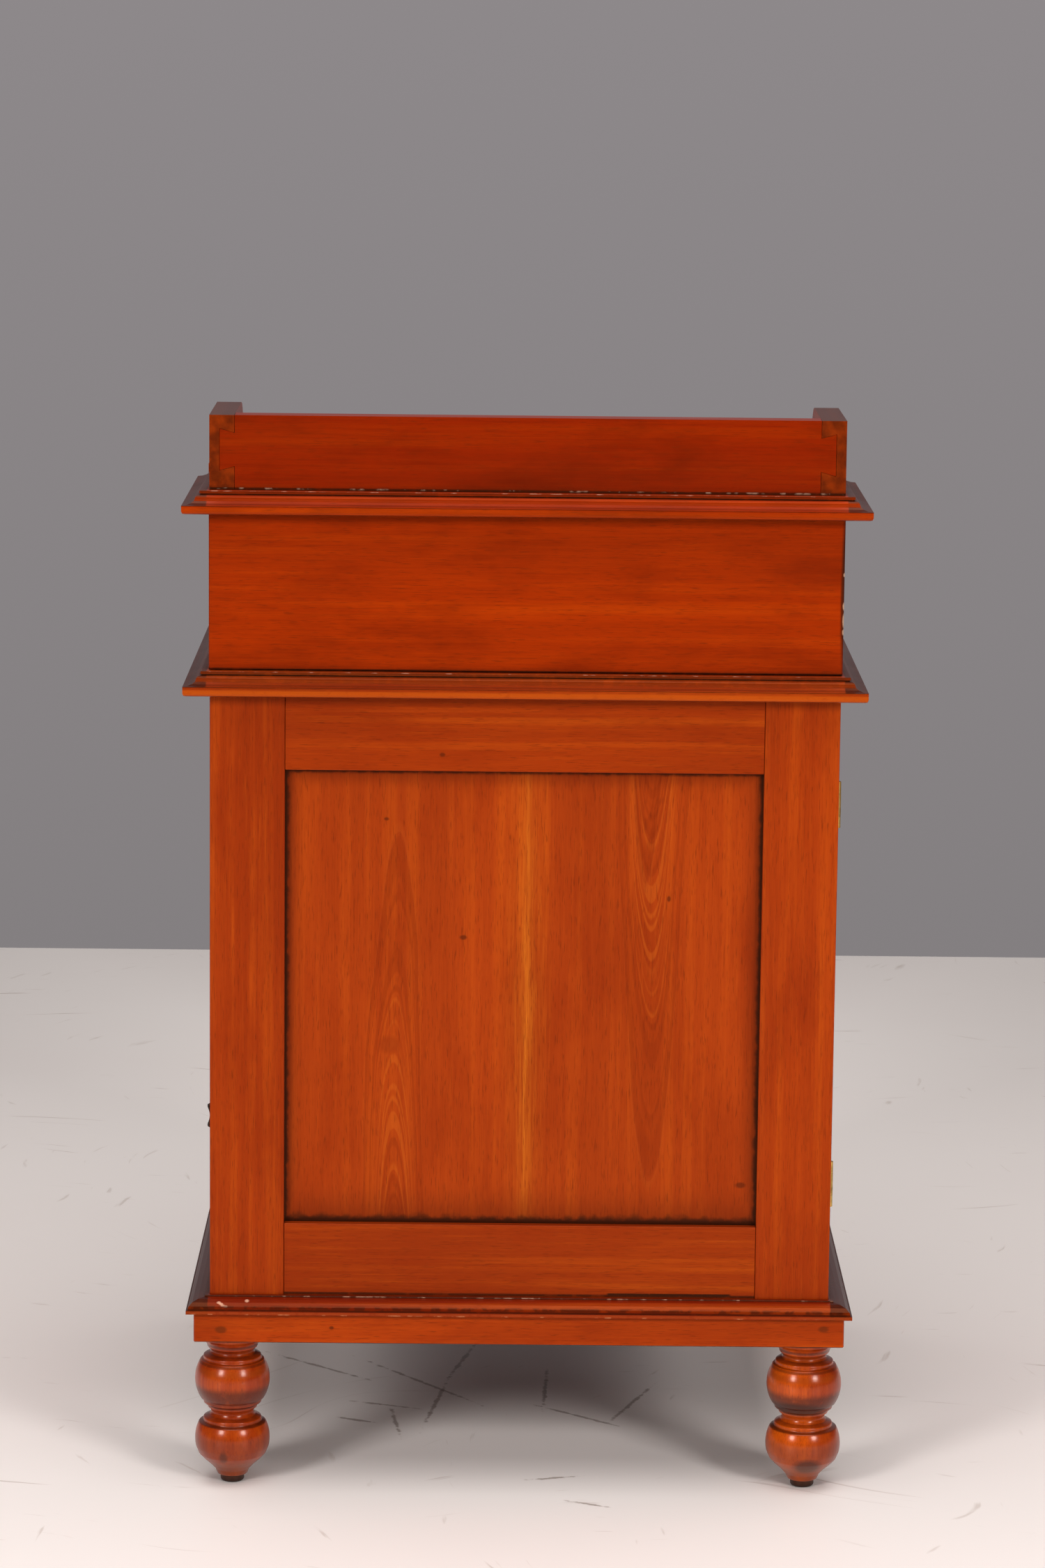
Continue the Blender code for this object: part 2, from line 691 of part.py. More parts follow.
def build_inside():
    """Bottom with the sill, partition with its housings, shelf, top and drawer dividers."""
    across = both(inner_y, FIT)
    sill_high = bottom_high + SILL_TALL
    sill_x = -case_x + SILL_THICK
    outline = [(-case_x, case_low), (case_x, case_low), (case_x, bottom_high)]
    outline += [(sill_x, bottom_high), (sill_x, sill_high), (-case_x, sill_high)]
    bottom = bmesh.new()
    add_prism(bottom, outline, "Y", *across)
    make("pedestal_bottom", bottom, "mahogany", ease=SMALL_EASE)
    top_z = (case_high - CASE_TOP_THICK, case_high)
    boards("case_top", "mahogany", (both(case_x), across, top_z), ease=SMALL_EASE)

    low = bottom_high + FIT
    high = top_z[0] - FIT
    root = partition_left + HOUSING_DEEP
    levels = (shelf_low() - FIT, shelf_low() + SHELF_THICK + FIT)
    outline = [(partition_left, low), (partition_left, levels[0]), (root, levels[0])]
    outline += [(root, levels[1]), (partition_left, levels[1]), (partition_left, high)]
    outline.append((partition_right, high))
    root = partition_right - HOUSING_DEEP
    dividers = []
    for number in range(1, DRAWER_COUNT):
        divider_low = opening_low(number) - DIVIDER_THICK
        above = divider_low + DIVIDER_THICK + FIT
        below = divider_low - FIT
        outline += [(partition_right, above), (root, above), (root, below), (partition_right, below)]
        place = ((root + FIT, case_x), across, (divider_low, divider_low + DIVIDER_THICK))
        dividers.append(boards(f"drawer_divider_{number}", "mahogany", place, ease=SMALL_EASE))
    outline.append((partition_right, low))
    partition = bmesh.new()
    add_prism(partition, outline, "Y", *across)
    make("partition", partition, "lining")
    shelf_x = (-case_x + DOOR_THICK + SHELF_SET_BACK, partition_left + HOUSING_DEEP - FIT)
    shelf_z = (shelf_low(), shelf_low() + SHELF_THICK)
    boards("cupboard_shelf", "lining", (shelf_x, across, shelf_z), ease=SMALL_EASE)
    return dividers[-1]


# Boards with a moulded edge


def edge_profile(thick):
    """(proud, height) points of the moulded edge, from the underside up."""
    upper = COVE_TALL + OVOLO_TALL + QUIRK_SLOPE + QUIRK_TALL + QUIRK_SLOPE + FILLET_TALL
    lip_high = thick - upper
    ovolo_root = LIP_PROUD - COVE_DEEP - OVOLO_DEEP
    ovolo_low = lip_high + COVE_TALL
    quirk_low = ovolo_low + OVOLO_TALL + QUIRK_SLOPE
    quirk_high = quirk_low + QUIRK_TALL
    corner = (LIP_PROUD - LIP_ROUND, LIP_ROUND)
    points = arc(corner, (LIP_ROUND, LIP_ROUND), -QUARTER, 0, ARC_STEPS // 2)
    points += arc((LIP_PROUD, ovolo_low), (-COVE_DEEP, -COVE_TALL), QUARTER, 0, ARC_STEPS)
    points += arc((ovolo_root, ovolo_low), (OVOLO_DEEP, OVOLO_TALL), 0, QUARTER, ARC_STEPS)[1:]
    points += [(ovolo_root - QUIRK_DEEP, quirk_low), (ovolo_root - QUIRK_DEEP, quirk_high)]
    points += [(FILLET_PROUD, quirk_high + QUIRK_SLOPE), (FILLET_PROUD, thick - SMALL_EASE)]
    points += [(FILLET_PROUD - SMALL_EASE, thick)]
    return points


def add_moulded_board(shape, x, y, low, thick, front_moulded):
    front = 1 if front_moulded else 0
    rings = []
    for proud, rise in edge_profile(thick):
        ring_x = (x[0] - proud, x[1] + proud)
        ring_y = (y[0] - proud * front, y[1] + proud)
        ring = [(ring_x[0], ring_y[0]), (ring_x[1], ring_y[0])]
        ring += [(ring_x[1], ring_y[1]), (ring_x[0], ring_y[1])]
        rings.append([(corner_x, corner_y, low + rise) for corner_x, corner_y in ring])
    add_rings(shape, rings)


def runner_outline(middle, room, top_run):
    """Dovetail section of a runner, or with some room, of the groove that it slides in."""
    neck = RUNNER_NECK_WIDE / 2 + room
    foot = RUNNER_FOOT_WIDE / 2 + room
    high = box_low - FIT
    low = high - RUNNER_TALL - (FIT if room else 0)
    outline = [(middle - foot, low), (middle + foot, low), (middle + neck, high)]
    if top_run:
        outline += [(middle + neck, high + top_run), (middle - neck, high + top_run)]
    return outline + [(middle - neck, high)]


def build_waist():
    waist = bmesh.new()
    add_moulded_board(waist, both(case_x), both(case_y), waist_low, WAIST_THICK, True)
    board = make("waist_board", waist, "mahogany")
    runner_back = box_y - RUNNER_BACK_INSET
    runner_front = runner_back - RUNNER_LONG
    grooves = bmesh.new()
    for side in (-1, 1):
        outline = runner_outline(side * RUNNER_SPREAD, RUNNER_SIDE_ROOM, OVERRUN)
        front = runner_front - SLIDE_TRAVEL - SLIDE_STOP_ROOM
        add_prism(grooves, outline, "Y", front, runner_back + SLIDE_STOP_ROOM)
    combine(board, helper("runner_grooves", grooves), "DIFFERENCE")
    return runner_front, runner_back


# Knobs, drawers and the door


def add_knob(shape, radius, length, place):
    profile = [(radius * wide, length * out) for wide, out in KNOB_SHARES]
    add_turning(shape, profile, KNOB_SIDES, place)


def facing(axis, degrees, x, y, z):
    """Turns +Z to face outwards and moves it to its seat."""
    return Matrix.Translation((x, y, z)) @ Matrix.Rotation(math.radians(degrees), 4, axis)


def trough(half, wall, low, high, bottom):
    """Section of a drawer's sides and of the bottom between them, as (across, up) points."""
    face = half - wall
    outline = [(half, low), (half, high), (face, high), (face, bottom[1])]
    outline += [(-face, bottom[1]), (-face, high), (-half, high), (-half, low)]
    return outline + [(-face, low), (-face, bottom[0]), (face, bottom[0]), (face, low)]


def build_drawer(number):
    """One drawer of the pedestal, glued up from its five boards, and its knob."""
    name = f"drawer_{number}"
    low = opening_low(number) + FIT
    high = opening_low(number) + opening_tall() - DRAWER_HEADROOM
    half = inner_y - DRAWER_SIDE_ROOM
    front_back = case_x - DRAWER_FRONT_THICK
    end = partition_right + DRAWER_BACK_ROOM
    middle = (low + high) / 2
    pivot = new_pivot(name + "_slide", case_x, 0, middle)
    bottom = (low + DRAWER_BOTTOM_RISE, low + DRAWER_BOTTOM_RISE + DRAWER_BOTTOM_THICK)
    wall_high = high - DRAWER_SIDE_DROP
    walls = bmesh.new()
    outline = trough(half, DRAWER_SIDE_THICK, low, wall_high, bottom)
    add_prism(walls, outline, "X", end, front_back + LAP)
    drawer = make(name, walls, "mahogany", pivot=pivot)
    back = bmesh.new()
    back_y = both(half - DRAWER_SIDE_THICK + LAP)
    add_box(back, (end, end + DRAWER_SIDE_THICK), back_y, (bottom[0] + LAP, wall_high))
    combine(drawer, helper(name + "_back", back), "UNION")
    front = bmesh.new()
    add_box(front, (front_back, case_x), both(half), (low, high))
    combine(drawer, helper(name + "_front", front), "UNION")
    knob = bmesh.new()
    seat = facing("Y", QUARTER, case_x + FIT, 0, middle)
    add_knob(knob, DRAWER_KNOB_RADIUS, DRAWER_KNOB_LONG, seat)
    make(name + "_knob", knob, "brass", smooth=True, pivot=pivot)
    return drawer, high, pivot


def build_inner_drawer(name, x, low):
    """One small drawer of the nest, glued up from its five boards, with its knob."""
    y = (flat_front + NEST_FRONT_SET_BACK, box_inner_y - INNER_DRAWER_BACK_ROOM)
    high = low + INNER_DRAWER_TALL - INNER_DRAWER_ROOM
    half = (x[1] - x[0]) / 2
    middle = (x[0] + x[1]) / 2
    inner_front = y[0] + INNER_DRAWER_FRONT_THICK
    pivot = new_pivot(name + "_slide", middle, y[0], (low + high) / 2)
    bottom = (low, low + INNER_DRAWER_BOTTOM_THICK)
    face = half - INNER_DRAWER_WALL
    outline = [(half, low), (half, high), (face, high), (face, bottom[1])]
    outline += [(-across, up) for across, up in reversed(outline)]
    walls = bmesh.new()
    add_prism(walls, [(middle + across, up) for across, up in outline], "Y", inner_front - LAP, y[1])
    drawer = make(name, walls, "mahogany", pivot=pivot)
    inside = (middle - face - LAP, middle + face + LAP)
    back = bmesh.new()
    add_box(back, inside, (y[1] - INNER_DRAWER_WALL, y[1]), (low + LAP, high))
    combine(drawer, helper(name + "_back", back), "UNION")
    front = bmesh.new()
    add_box(front, x, (y[0], inner_front), (low, high))
    combine(drawer, helper(name + "_front", front), "UNION")
    knob = bmesh.new()
    seat = facing("X", QUARTER, middle, y[0] + LAP, (low + high) / 2)
    add_knob(knob, INNER_KNOB_RADIUS, INNER_KNOB_LONG, seat)
    combine(drawer, helper(name + "_knob", knob), "UNION")


# Hinges


def leaf_outline(side, bored):
    """Section of a leaf rolled round the pin: X runs into the wood, Y to the leaf's side."""
    near = HINGE_LEAF_SPLIT / 2
    far = near + HINGE_LEAF_THICK
    outer_start = math.degrees(math.asin(far / HINGE_BARREL_RADIUS))
    outer_end = WHOLE - outer_start
    if not bored:
        outer_end = WHOLE - math.degrees(math.asin(near / HINGE_BARREL_RADIUS))
    outline = [(HINGE_LEAF_WIDE, near), (HINGE_LEAF_WIDE, far)]
    barrel = (HINGE_BARREL_RADIUS, HINGE_BARREL_RADIUS)
    outline += arc((0, 0), barrel, outer_start, outer_end, CURVE_STEPS + 2)
    if bored:
        inner_start = math.degrees(math.asin(near / HINGE_BORE_RADIUS))
        bore = (HINGE_BORE_RADIUS, HINGE_BORE_RADIUS)
        outline += arc((0, 0), bore, outer_end, inner_start, CURVE_STEPS)
    return [(across, side * out) for across, out in outline]


def mortise_outline(side):
    """Section of the wood that makes room for a leaf and for its half of the barrel."""
    far = HINGE_LEAF_SPLIT / 2 + HINGE_LEAF_THICK + FIT
    radius = HINGE_BARREL_RADIUS + FIT
    start = math.degrees(math.asin(far / radius))
    inner = HINGE_LEAF_WIDE + FIT
    outline = [(inner, 0), (inner, far)]
    outline += arc((0, 0), (radius, radius), start, HALF, ARC_STEPS)
    return [(across, side * out) for across, out in outline]


def build_hinge(names, place, fixed_wood, moving_wood, fixed_pivot, moving_pivot):
    """A butt hinge: its fixed leaf, with the pin, is on the Y side of the axis."""
    half = HINGE_TALL / 2
    middle = HINGE_MIDDLE_TALL / 2
    reach = HINGE_BARREL_RADIUS + FIT
    window = [(-reach, -reach), (reach, -reach), (reach, reach), (-reach, reach)]
    fixed, moving, pin = bmesh.new(), bmesh.new(), bmesh.new()
    middle_gap, end_gaps = bmesh.new(), bmesh.new()
    fixed_mortise, moving_mortise = bmesh.new(), bmesh.new()
    pin_half = middle + LAP
    pin_profile = [(0, -pin_half), (HINGE_PIN_RADIUS, -pin_half)]
    pin_profile += [(HINGE_PIN_RADIUS, pin_half), (0, pin_half)]
    add_prism(fixed, leaf_outline(1, False), "Z", -half, half, place)
    add_prism(moving, leaf_outline(-1, True), "Z", -half, half, place)
    add_turning(pin, pin_profile, PIN_SIDES, place)
    add_prism(middle_gap, window, "Z", -middle - FIT / 2, middle + FIT / 2, place)
    add_prism(end_gaps, window, "Z", middle - FIT / 2, half + OVERRUN, place)
    add_prism(end_gaps, window, "Z", -half - OVERRUN, -middle + FIT / 2, place)
    add_prism(fixed_mortise, mortise_outline(1), "Z", -half - FIT, half + FIT, place)
    add_prism(moving_mortise, mortise_outline(-1), "Z", -half - FIT, half + FIT, place)
    fixed_leaf = make(names[0], fixed, "brass", pivot=fixed_pivot)
    moving_leaf = make(names[1], moving, "brass", pivot=moving_pivot)
    combine(fixed_leaf, helper(names[0] + "_gap", middle_gap), "DIFFERENCE")
    combine(fixed_leaf, helper(names[0] + "_pin", pin), "UNION")
    combine(moving_leaf, helper(names[1] + "_gaps", end_gaps), "DIFFERENCE")
    combine(fixed_wood, helper(names[0] + "_mortise", fixed_mortise), "DIFFERENCE")
    combine(moving_wood, helper(names[1] + "_mortise", moving_mortise), "DIFFERENCE")


def build_door(back_stile):
    low = bottom_high + SILL_TALL + DOOR_GAP
    high = case_high - CASE_TOP_THICK - DOOR_GAP
    axis_x = -case_x - HINGE_PROUD
    axis_y = inner_y - DOOR_GAP / 2
    pivot = new_pivot("door_pivot", axis_x, axis_y, (low + high) / 2)
    out = Matrix.Translation((-case_x, 0, 0)) @ Matrix.Rotation(math.radians(QUARTER), 4, "Z")
    frame = Frame(
        half=inner_y - DOOR_GAP,
        low=low,
        high=high,
        thick=DOOR_THICK,
        stile=DOOR_STILE_WIDE,
        top_rail=DOOR_RAIL_TALL,
        bottom_rail=DOOR_RAIL_TALL,
        panel_thick=DOOR_PANEL_THICK,
        recess=DOOR_PANEL_RECESS,
        groove=DOOR_GROOVE_DEEP,
        place=out,
    )
    door = build_whole_frame(frame, "door", pivot)
    knob = bmesh.new()
    knob_y = -frame.half + DOOR_STILE_WIDE / 2
    seat = facing("Y", -QUARTER, -case_x - FIT, knob_y, (low + high) / 2)
    add_knob(knob, DOOR_KNOB_RADIUS, DOOR_KNOB_LONG, seat)
    make("door_knob", knob, "brass", smooth=True, pivot=pivot)
    from_end = DOOR_HINGE_FROM_END + HINGE_TALL / 2
    for end, level in (("lower", low + from_end), ("upper", high - from_end)):
        names = (f"door_hinge_{end}_case_leaf", f"door_hinge_{end}_door_leaf")
        place = Matrix.Translation((axis_x, axis_y, level))
        build_hinge(names, place, back_stile, door, None, pivot)


# Lock and key


def build_lock(front, front_high, drawer_pivot, dividers):
    keyhole = front_high - KEYHOLE_DROP
    back = case_x - DRAWER_FRONT_THICK
    lock_x = (back + FIT, back + FIT + LOCK_THICK)
    chamber_x = (lock_x[0] + LOCK_WALL, lock_x[1] - LOCK_WALL)
    bolt_half = LOCK_CHAMBER_RADIUS - FIT
    key_pivot = new_pivot("key_turn", case_x, 0, keyhole)
    bolt_pivot = new_pivot("bolt_slide", chamber_x[0], 0, keyhole)

    case = bmesh.new()
    lock_z = (front_high - LOCK_TALL, front_high - FIT)
    add_box(case, lock_x, both(LOCK_WIDE / 2), lock_z)
    lock = make("drawer_lock", case, "iron", pivot=drawer_pivot)
    radius = (LOCK_CHAMBER_RADIUS, LOCK_CHAMBER_RADIUS)
    chamber_outline = arc((0, keyhole), radius, HALF, WHOLE, CURVE_STEPS)
    chamber_outline += [(LOCK_CHAMBER_RADIUS, front_high + OVERRUN)]
    chamber_outline += [(-LOCK_CHAMBER_RADIUS, front_high + OVERRUN)]
    chamber = bmesh.new()
    add_prism(chamber, chamber_outline, "X", *chamber_x)
    combine(lock, helper("lock_chamber", chamber), "DIFFERENCE")

    mortise = bmesh.new()
    mortise_x = (back - OVERRUN, lock_x[1] + FIT)
    mortise_z = (lock_z[0] - FIT, front_high + OVERRUN)
    add_box(mortise, mortise_x, both(LOCK_WIDE / 2 + FIT), mortise_z)
    combine(front, helper("lock_mortise", mortise), "DIFFERENCE")

    slot = KEYHOLE_SLOT_WIDE / 2
    slot_low = keyhole - KEYHOLE_SLOT_DEEP
    shoulder = math.degrees(math.asin(slot / KEYHOLE_RADIUS))
    hole = (KEYHOLE_RADIUS, KEYHOLE_RADIUS)
    outline = [(-slot, slot_low), (slot, slot_low)]
    outline += arc((0, keyhole), hole, shoulder - QUARTER, HALF + QUARTER - shoulder, CURVE_STEPS)
    keyhole_cut = bmesh.new()
    add_prism(keyhole_cut, outline, "X", chamber_x[1] - LOCK_WALL / 2, case_x + OVERRUN)
    keyhole_tool = helper("keyhole", keyhole_cut)
    combine(lock, keyhole_tool, "DIFFERENCE")
    combine(front, keyhole_tool, "DIFFERENCE")

    bolt_x = (chamber_x[0] + FIT, chamber_x[1] - FIT)
    bolt_high = front_high - FIT
    bolt_z = (bolt_high - BOLT_TALL, bolt_high)
    boards("lock_bolt", "brass", (bolt_x, both(bolt_half), bolt_z), ease=0, pivot=bolt_pivot)
    socket = bmesh.new()
    socket_high = bolt_high + BOLT_THROW + FIT
    add_box(socket, chamber_x, both(LOCK_CHAMBER_RADIUS), (front_high, socket_high))
    combine(dividers, helper("bolt_socket", socket), "DIFFERENCE")

    build_key(chamber_x[0] + FIT, keyhole, key_pivot)


def build_key(tip_x, keyhole, pivot):
    """A key with a two-lobed bow, its bit pointing down in the lock's chamber."""
    bow_x = case_x + KEY_NECK_LONG + KEY_BOW_BAR + KEY_BOW_HALF_LONG
    path = []
    steps = CURVE_STEPS * 3
    for step in range(steps):
        turn = math.tau * step / steps
        x = KEY_BOW_HALF_LONG * math.cos(turn) + KEY_BOW_SWELL * math.sin(turn) ** 2
        path.append(Vector((bow_x + x, 0, keyhole + KEY_BOW_HALF_TALL * math.sin(turn))))
    rings = []
    for index, point in enumerate(path):
        run = (path[(index + 1) % steps] - path[index - 1]).normalized()
        across = run.cross(Vector((0, 1, 0)))
        ring = []
        for side in range(CURVE_STEPS):
            turn = math.tau * side / CURVE_STEPS
            out = across * math.cos(turn) + Vector((0, 1, 0)) * math.sin(turn)
            ring.append(point + out * KEY_BOW_BAR)
        rings.append(ring)
    bow = bmesh.new()
    add_rings(bow, rings, closed=True)
    key = make("key", bow, "iron", smooth=True, pivot=pivot)
    shank = bmesh.new()
    shank_end = bow_x - KEY_BOW_HALF_LONG
    profile = [(0, tip_x), (KEY_SHANK_RADIUS, tip_x), (KEY_SHANK_RADIUS, shank_end), (0, shank_end)]
    add_turning(shank, profile, PIN_SIDES, facing("Y", QUARTER, 0, 0, keyhole))
    combine(key, helper("key_shank", shank), "UNION")
    bit = bmesh.new()
    bit_x = (tip_x + FIT, tip_x + FIT + KEY_BIT_THICK)
    bit_z = (keyhole - KEY_BIT_DEEP, keyhole - KEY_SHANK_RADIUS / 2)
    add_box(bit, bit_x, both(KEYHOLE_SLOT_WIDE / 2, FIT), bit_z)
    combine(key, helper("key_bit", bit), "UNION")


# Writing box


def lid_point(down, rise):
    """(y, z) of a point on the sloped lid: down the slope from its hinged edge, and above it."""
    y = lid_back - down * math.cos(lid_slope) - rise * math.sin(lid_slope)
    z = top_high - down * math.sin(lid_slope) + rise * math.cos(lid_slope)
    return (y, z)


def under_lid(y):
    """Height just below the lid's underside at a place along Y."""
    return top_high - (lid_back - y) * math.tan(lid_slope) - (LID_THICK + FIT) / math.cos(lid_slope)


def build_box(runner_front, runner_back):
    pivot = new_pivot("writing_box_slide", 0, runner_back, waist_high)
    outer_x = both(box_x)
    bottom = bmesh.new()
    bottom_z = (box_low, box_low + BOX_BOTTOM_THICK)
    add_box(bottom, both(box_inner_x, FIT), both(box_inner_y, FIT), bottom_z)
    bottom = make("box_bottom", bottom, "lining", pivot=pivot)
    runners = bmesh.new()
    for side in (-1, 1):
        outline = runner_outline(side * RUNNER_SPREAD, 0, FIT + LAP)
        add_prism(runners, outline, "Y", runner_front, runner_back)
    combine(bottom, helper("box_runners", runners), "UNION")
    back_y = (box_inner_y, box_y)
    boards("box_back", "mahogany", (outer_x, back_y, (box_low, box_high)), pivot=pivot)
    front = bmesh.new()
    outline = [(-box_y, box_low), (-box_inner_y, box_low)]
    outline += [(-box_inner_y, under_lid(-box_inner_y)), (-box_y, under_lid(-box_y))]
    add_prism(front, outline, "X", *outer_x)
    make("box_front", front, "mahogany", ease=SMALL_EASE, pivot=pivot)
    front_y = -box_inner_y + FIT
    meeting = lid_back - (top_high - box_high - (LID_THICK + FIT) / math.cos(lid_slope)) / math.tan(
        lid_slope
    )
    outline = [(front_y, box_low), (box_inner_y - FIT, box_low), (box_inner_y - FIT, box_high)]
    outline += [(meeting, box_high), (front_y, under_lid(front_y))]
    for name, side in (("box_side_left", -1), ("box_side_right", 1)):
        board = bmesh.new()
        add_prism(board, outline, "X", *sorted((side * box_inner_x, side * box_x)))
        make(name, board, "mahogany", ease=SMALL_EASE, pivot=pivot)
    top = bmesh.new()
    add_moulded_board(top, outer_x, (flat_front, box_y), top_low, TOP_THICK, False)
    top_board = make("top_board", top, "mahogany", pivot=pivot)
    return pivot, top_board


def tail_outline(side, room, extra):
    """The tail at one end of the gallery's back board, from inside its shoulder to its end."""
    inner = GALLERY_WIDE / 2 - GALLERY_THICK
    slope = (TAIL_END_TALL - TAIL_ROOT_TALL) / 2 / TAIL_LONG
    low = gallery_low + TAIL_RISE
    high = low + TAIL_END_TALL
    reach = inner + TAIL_LONG
    inset = slope * (TAIL_LONG + extra)
    points = [(inner - extra, low + inset - room), (reach + room, low - room)]
    points += [(reach + room, high + room), (inner - extra, high - inset + room)]
    return [(side * across, up) for across, up in points]


def build_gallery(pivot):
    """Three boards, dovetailed at the corners: the sides lap over the ends of the tails."""
    half = GALLERY_WIDE / 2
    inner = half - GALLERY_THICK
    height = (gallery_low, gallery_high)
    back_y = (box_y - GALLERY_THICK, box_y)
    back_outline = []
    for side in (1, -1):
        tail = tail_outline(side, -FIT, 0)
        tail = tail if side == 1 else tail[::-1]
        shoulder = side * (inner - FIT)
        root_low, root_high = sorted((tail[0][1], tail[3][1]))
        ends = [(shoulder, gallery_low), (shoulder, root_low), tail[1], tail[2]]
        ends += [(shoulder, root_high), (shoulder, gallery_high)]
        if side == -1:
            ends = [ends[5], ends[4], tail[1], tail[2], ends[1], ends[0]]
        back_outline += ends
    back = bmesh.new()
    add_prism(back, back_outline, "Y", *back_y)
    make("gallery_back", back, "mahogany", pivot=pivot)

    level_end = box_y - GALLERY_FLAT
    nose_start = box_y - GALLERY_SIDE_DEEP + GALLERY_NOSE_LONG
    nose_high = gallery_low + GALLERY_NOSE_TALL
    outline = [(box_y, gallery_low), (box_y, gallery_high)]
    for step in range(CURVE_STEPS + 1):
        share = step / CURVE_STEPS
        fall = share * share * (3 - 2 * share)
        y = level_end + (nose_start - level_end) * share
        outline.append((y, gallery_high + (nose_high - gallery_high) * fall))
    nose = (GALLERY_NOSE_LONG, GALLERY_NOSE_LONG)
    outline += arc((nose_start, nose_high - GALLERY_NOSE_LONG), nose, QUARTER, HALF, ARC_STEPS)[1:]
    outline.append((box_y - GALLERY_SIDE_DEEP, gallery_low))
    for name, side in (("gallery_side_left", -1), ("gallery_side_right", 1)):
        board = bmesh.new()
        add_prism(board, outline, "X", *sorted((side * inner, side * half)))
        piece = make(name, board, "mahogany", pivot=pivot)
        socket = bmesh.new()
        tail = tail_outline(side, 0, OVERRUN)
        add_prism(socket, tail, "Y", back_y[0] - FIT, back_y[1] + OVERRUN)
        combine(piece, helper(name + "_socket", socket), "DIFFERENCE")


def build_nest(pivot):
    """On each side of the open middle, a partition and a shelf over a small drawer."""
    low = box_low + BOX_BOTTOM_THICK + FIT
    high = box_high - FIT
    y = (flat_front + NEST_FRONT_SET_BACK, box_inner_y - FIT)
    middle = NEST_MIDDLE_WIDE / 2
    outer = box_inner_x - FIT
    wall = middle + NEST_BOARD_THICK
    shelf_low_z = low + FIT + INNER_DRAWER_TALL
    shelf_high_z = shelf_low_z + NEST_SHELF_THICK
    outline = [(middle, low), (wall, low), (wall, shelf_low_z), (outer, shelf_low_z)]
    outline += [(outer, shelf_high_z), (wall, shelf_high_z), (wall, high), (middle, high)]
    near = wall + INNER_DRAWER_ROOM
    far = outer - INNER_DRAWER_ROOM
    for end, side in (("left", -1), ("right", 1)):
        nest = bmesh.new()
        add_prism(nest, [(side * across, up) for across, up in outline], "Y", *y)
        make("nest_" + end, nest, "mahogany", pivot=pivot)
        build_inner_drawer("inner_drawer_" + end, sorted((side * near, side * far)), low)


def build_lid(top_board, box_pivot):
    axis_y = flat_front - DOOR_GAP / 2
    axis_z = top_high + HINGE_PROUD
    pivot = new_pivot("lid_pivot", 0, axis_y, axis_z)
    across = both(LID_WIDE / 2)
    length = (lid_back + box_y + LID_FRONT_OVERHANG) / math.cos(lid_slope)
    edge_lean = LID_THICK * math.tan(lid_slope)
    nose = arc(
        (length - LID_NOSE_ROUND, -LID_NOSE_ROUND), (LID_NOSE_ROUND, LID_NOSE_ROUND), QUARTER, 0, ARC_STEPS
    )
    outline = [(edge_lean, -LID_THICK), (0, 0)] + nose + [(length, -LID_THICK)]
    board = bmesh.new()
    add_prism(board, [lid_point(*point) for point in outline], "X", *across)
    lid = make("lid_board", board, "mahogany", ease=SMALL_EASE, pivot=pivot)

    ledge_end = length - LEDGE_MARGIN
    ledge_start = ledge_end - LEDGE_WIDE
    leather_end = ledge_start - LEDGE_MARGIN
    recess_outline = [(LEATHER_MARGIN, -LEATHER_RECESS), (leather_end, -LEATHER_RECESS)]
    recess_outline += [(leather_end, OVERRUN), (LEATHER_MARGIN, OVERRUN)]
    recess = bmesh.new()
    leather_half = LID_WIDE / 2 - LEATHER_MARGIN
    add_prism(recess, [lid_point(*point) for point in recess_outline], "X", *both(leather_half))
    combine(lid, helper("leather_recess", recess), "DIFFERENCE")
    skin_low = FIT - LEATHER_RECESS
    skin_high = skin_low + LEATHER_THICK
    skin_down = (LEATHER_MARGIN + FIT, leather_end - FIT)
    skin_outline = [(skin_down[0], skin_low), (skin_down[1], skin_low)]
    skin_outline += [(skin_down[1], skin_high), (skin_down[0], skin_high)]
    skin = bmesh.new()
    add_prism(skin, [lid_point(*point) for point in skin_outline], "X", *both(leather_half, FIT))
    make("lid_leather", skin, "leather", pivot=pivot)

    half = LEDGE_WIDE / 2
    ledge_outline = [(ledge_end, FIT), (ledge_start, FIT)]
    crown = (ledge_start + half, FIT + LEDGE_TALL - half)
    ledge_outline += arc(crown, (half, half), HALF, 0, CURVE_STEPS)
    ledge = bmesh.new()
    add_prism(ledge, [lid_point(*point) for point in ledge_outline], "X", *both(leather_half))
    make("lid_ledge", ledge, "mahogany", pivot=pivot)

    turn = Matrix.Rotation(math.radians(QUARTER), 4, "Y")
    for end, side in (("left", -1), ("right", 1)):
        names = (f"lid_hinge_{end}_top_leaf", f"lid_hinge_{end}_lid_leaf")
        place = Matrix.Translation((side * LID_HINGE_SPREAD, axis_y, axis_z)) @ turn
        build_hinge(names, place, top_board, lid, box_pivot, pivot)


def main():
    clear_scene()
    build_feet()
    build_plinth()
    back_stile = build_back_frame()
    build_whole_frame(case_frame(HALF), "front")
    dividers = build_inside()
    runner_front, runner_back = build_waist()
    for number in range(1, DRAWER_COUNT + 1):
        front, front_high, drawer_pivot = build_drawer(number)
    build_lock(front, front_high, drawer_pivot, dividers)
    build_door(back_stile)
    box_pivot, top_board = build_box(runner_front, runner_back)
    build_gallery(box_pivot)
    build_nest(box_pivot)
    build_lid(top_board, box_pivot)


main()
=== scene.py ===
"""The davenport desk dressed for its portrait: finishes, small trim, floor, light and camera."""

import math
from dataclasses import dataclass

import bmesh
import bpy
from mathutils import Matrix, Vector


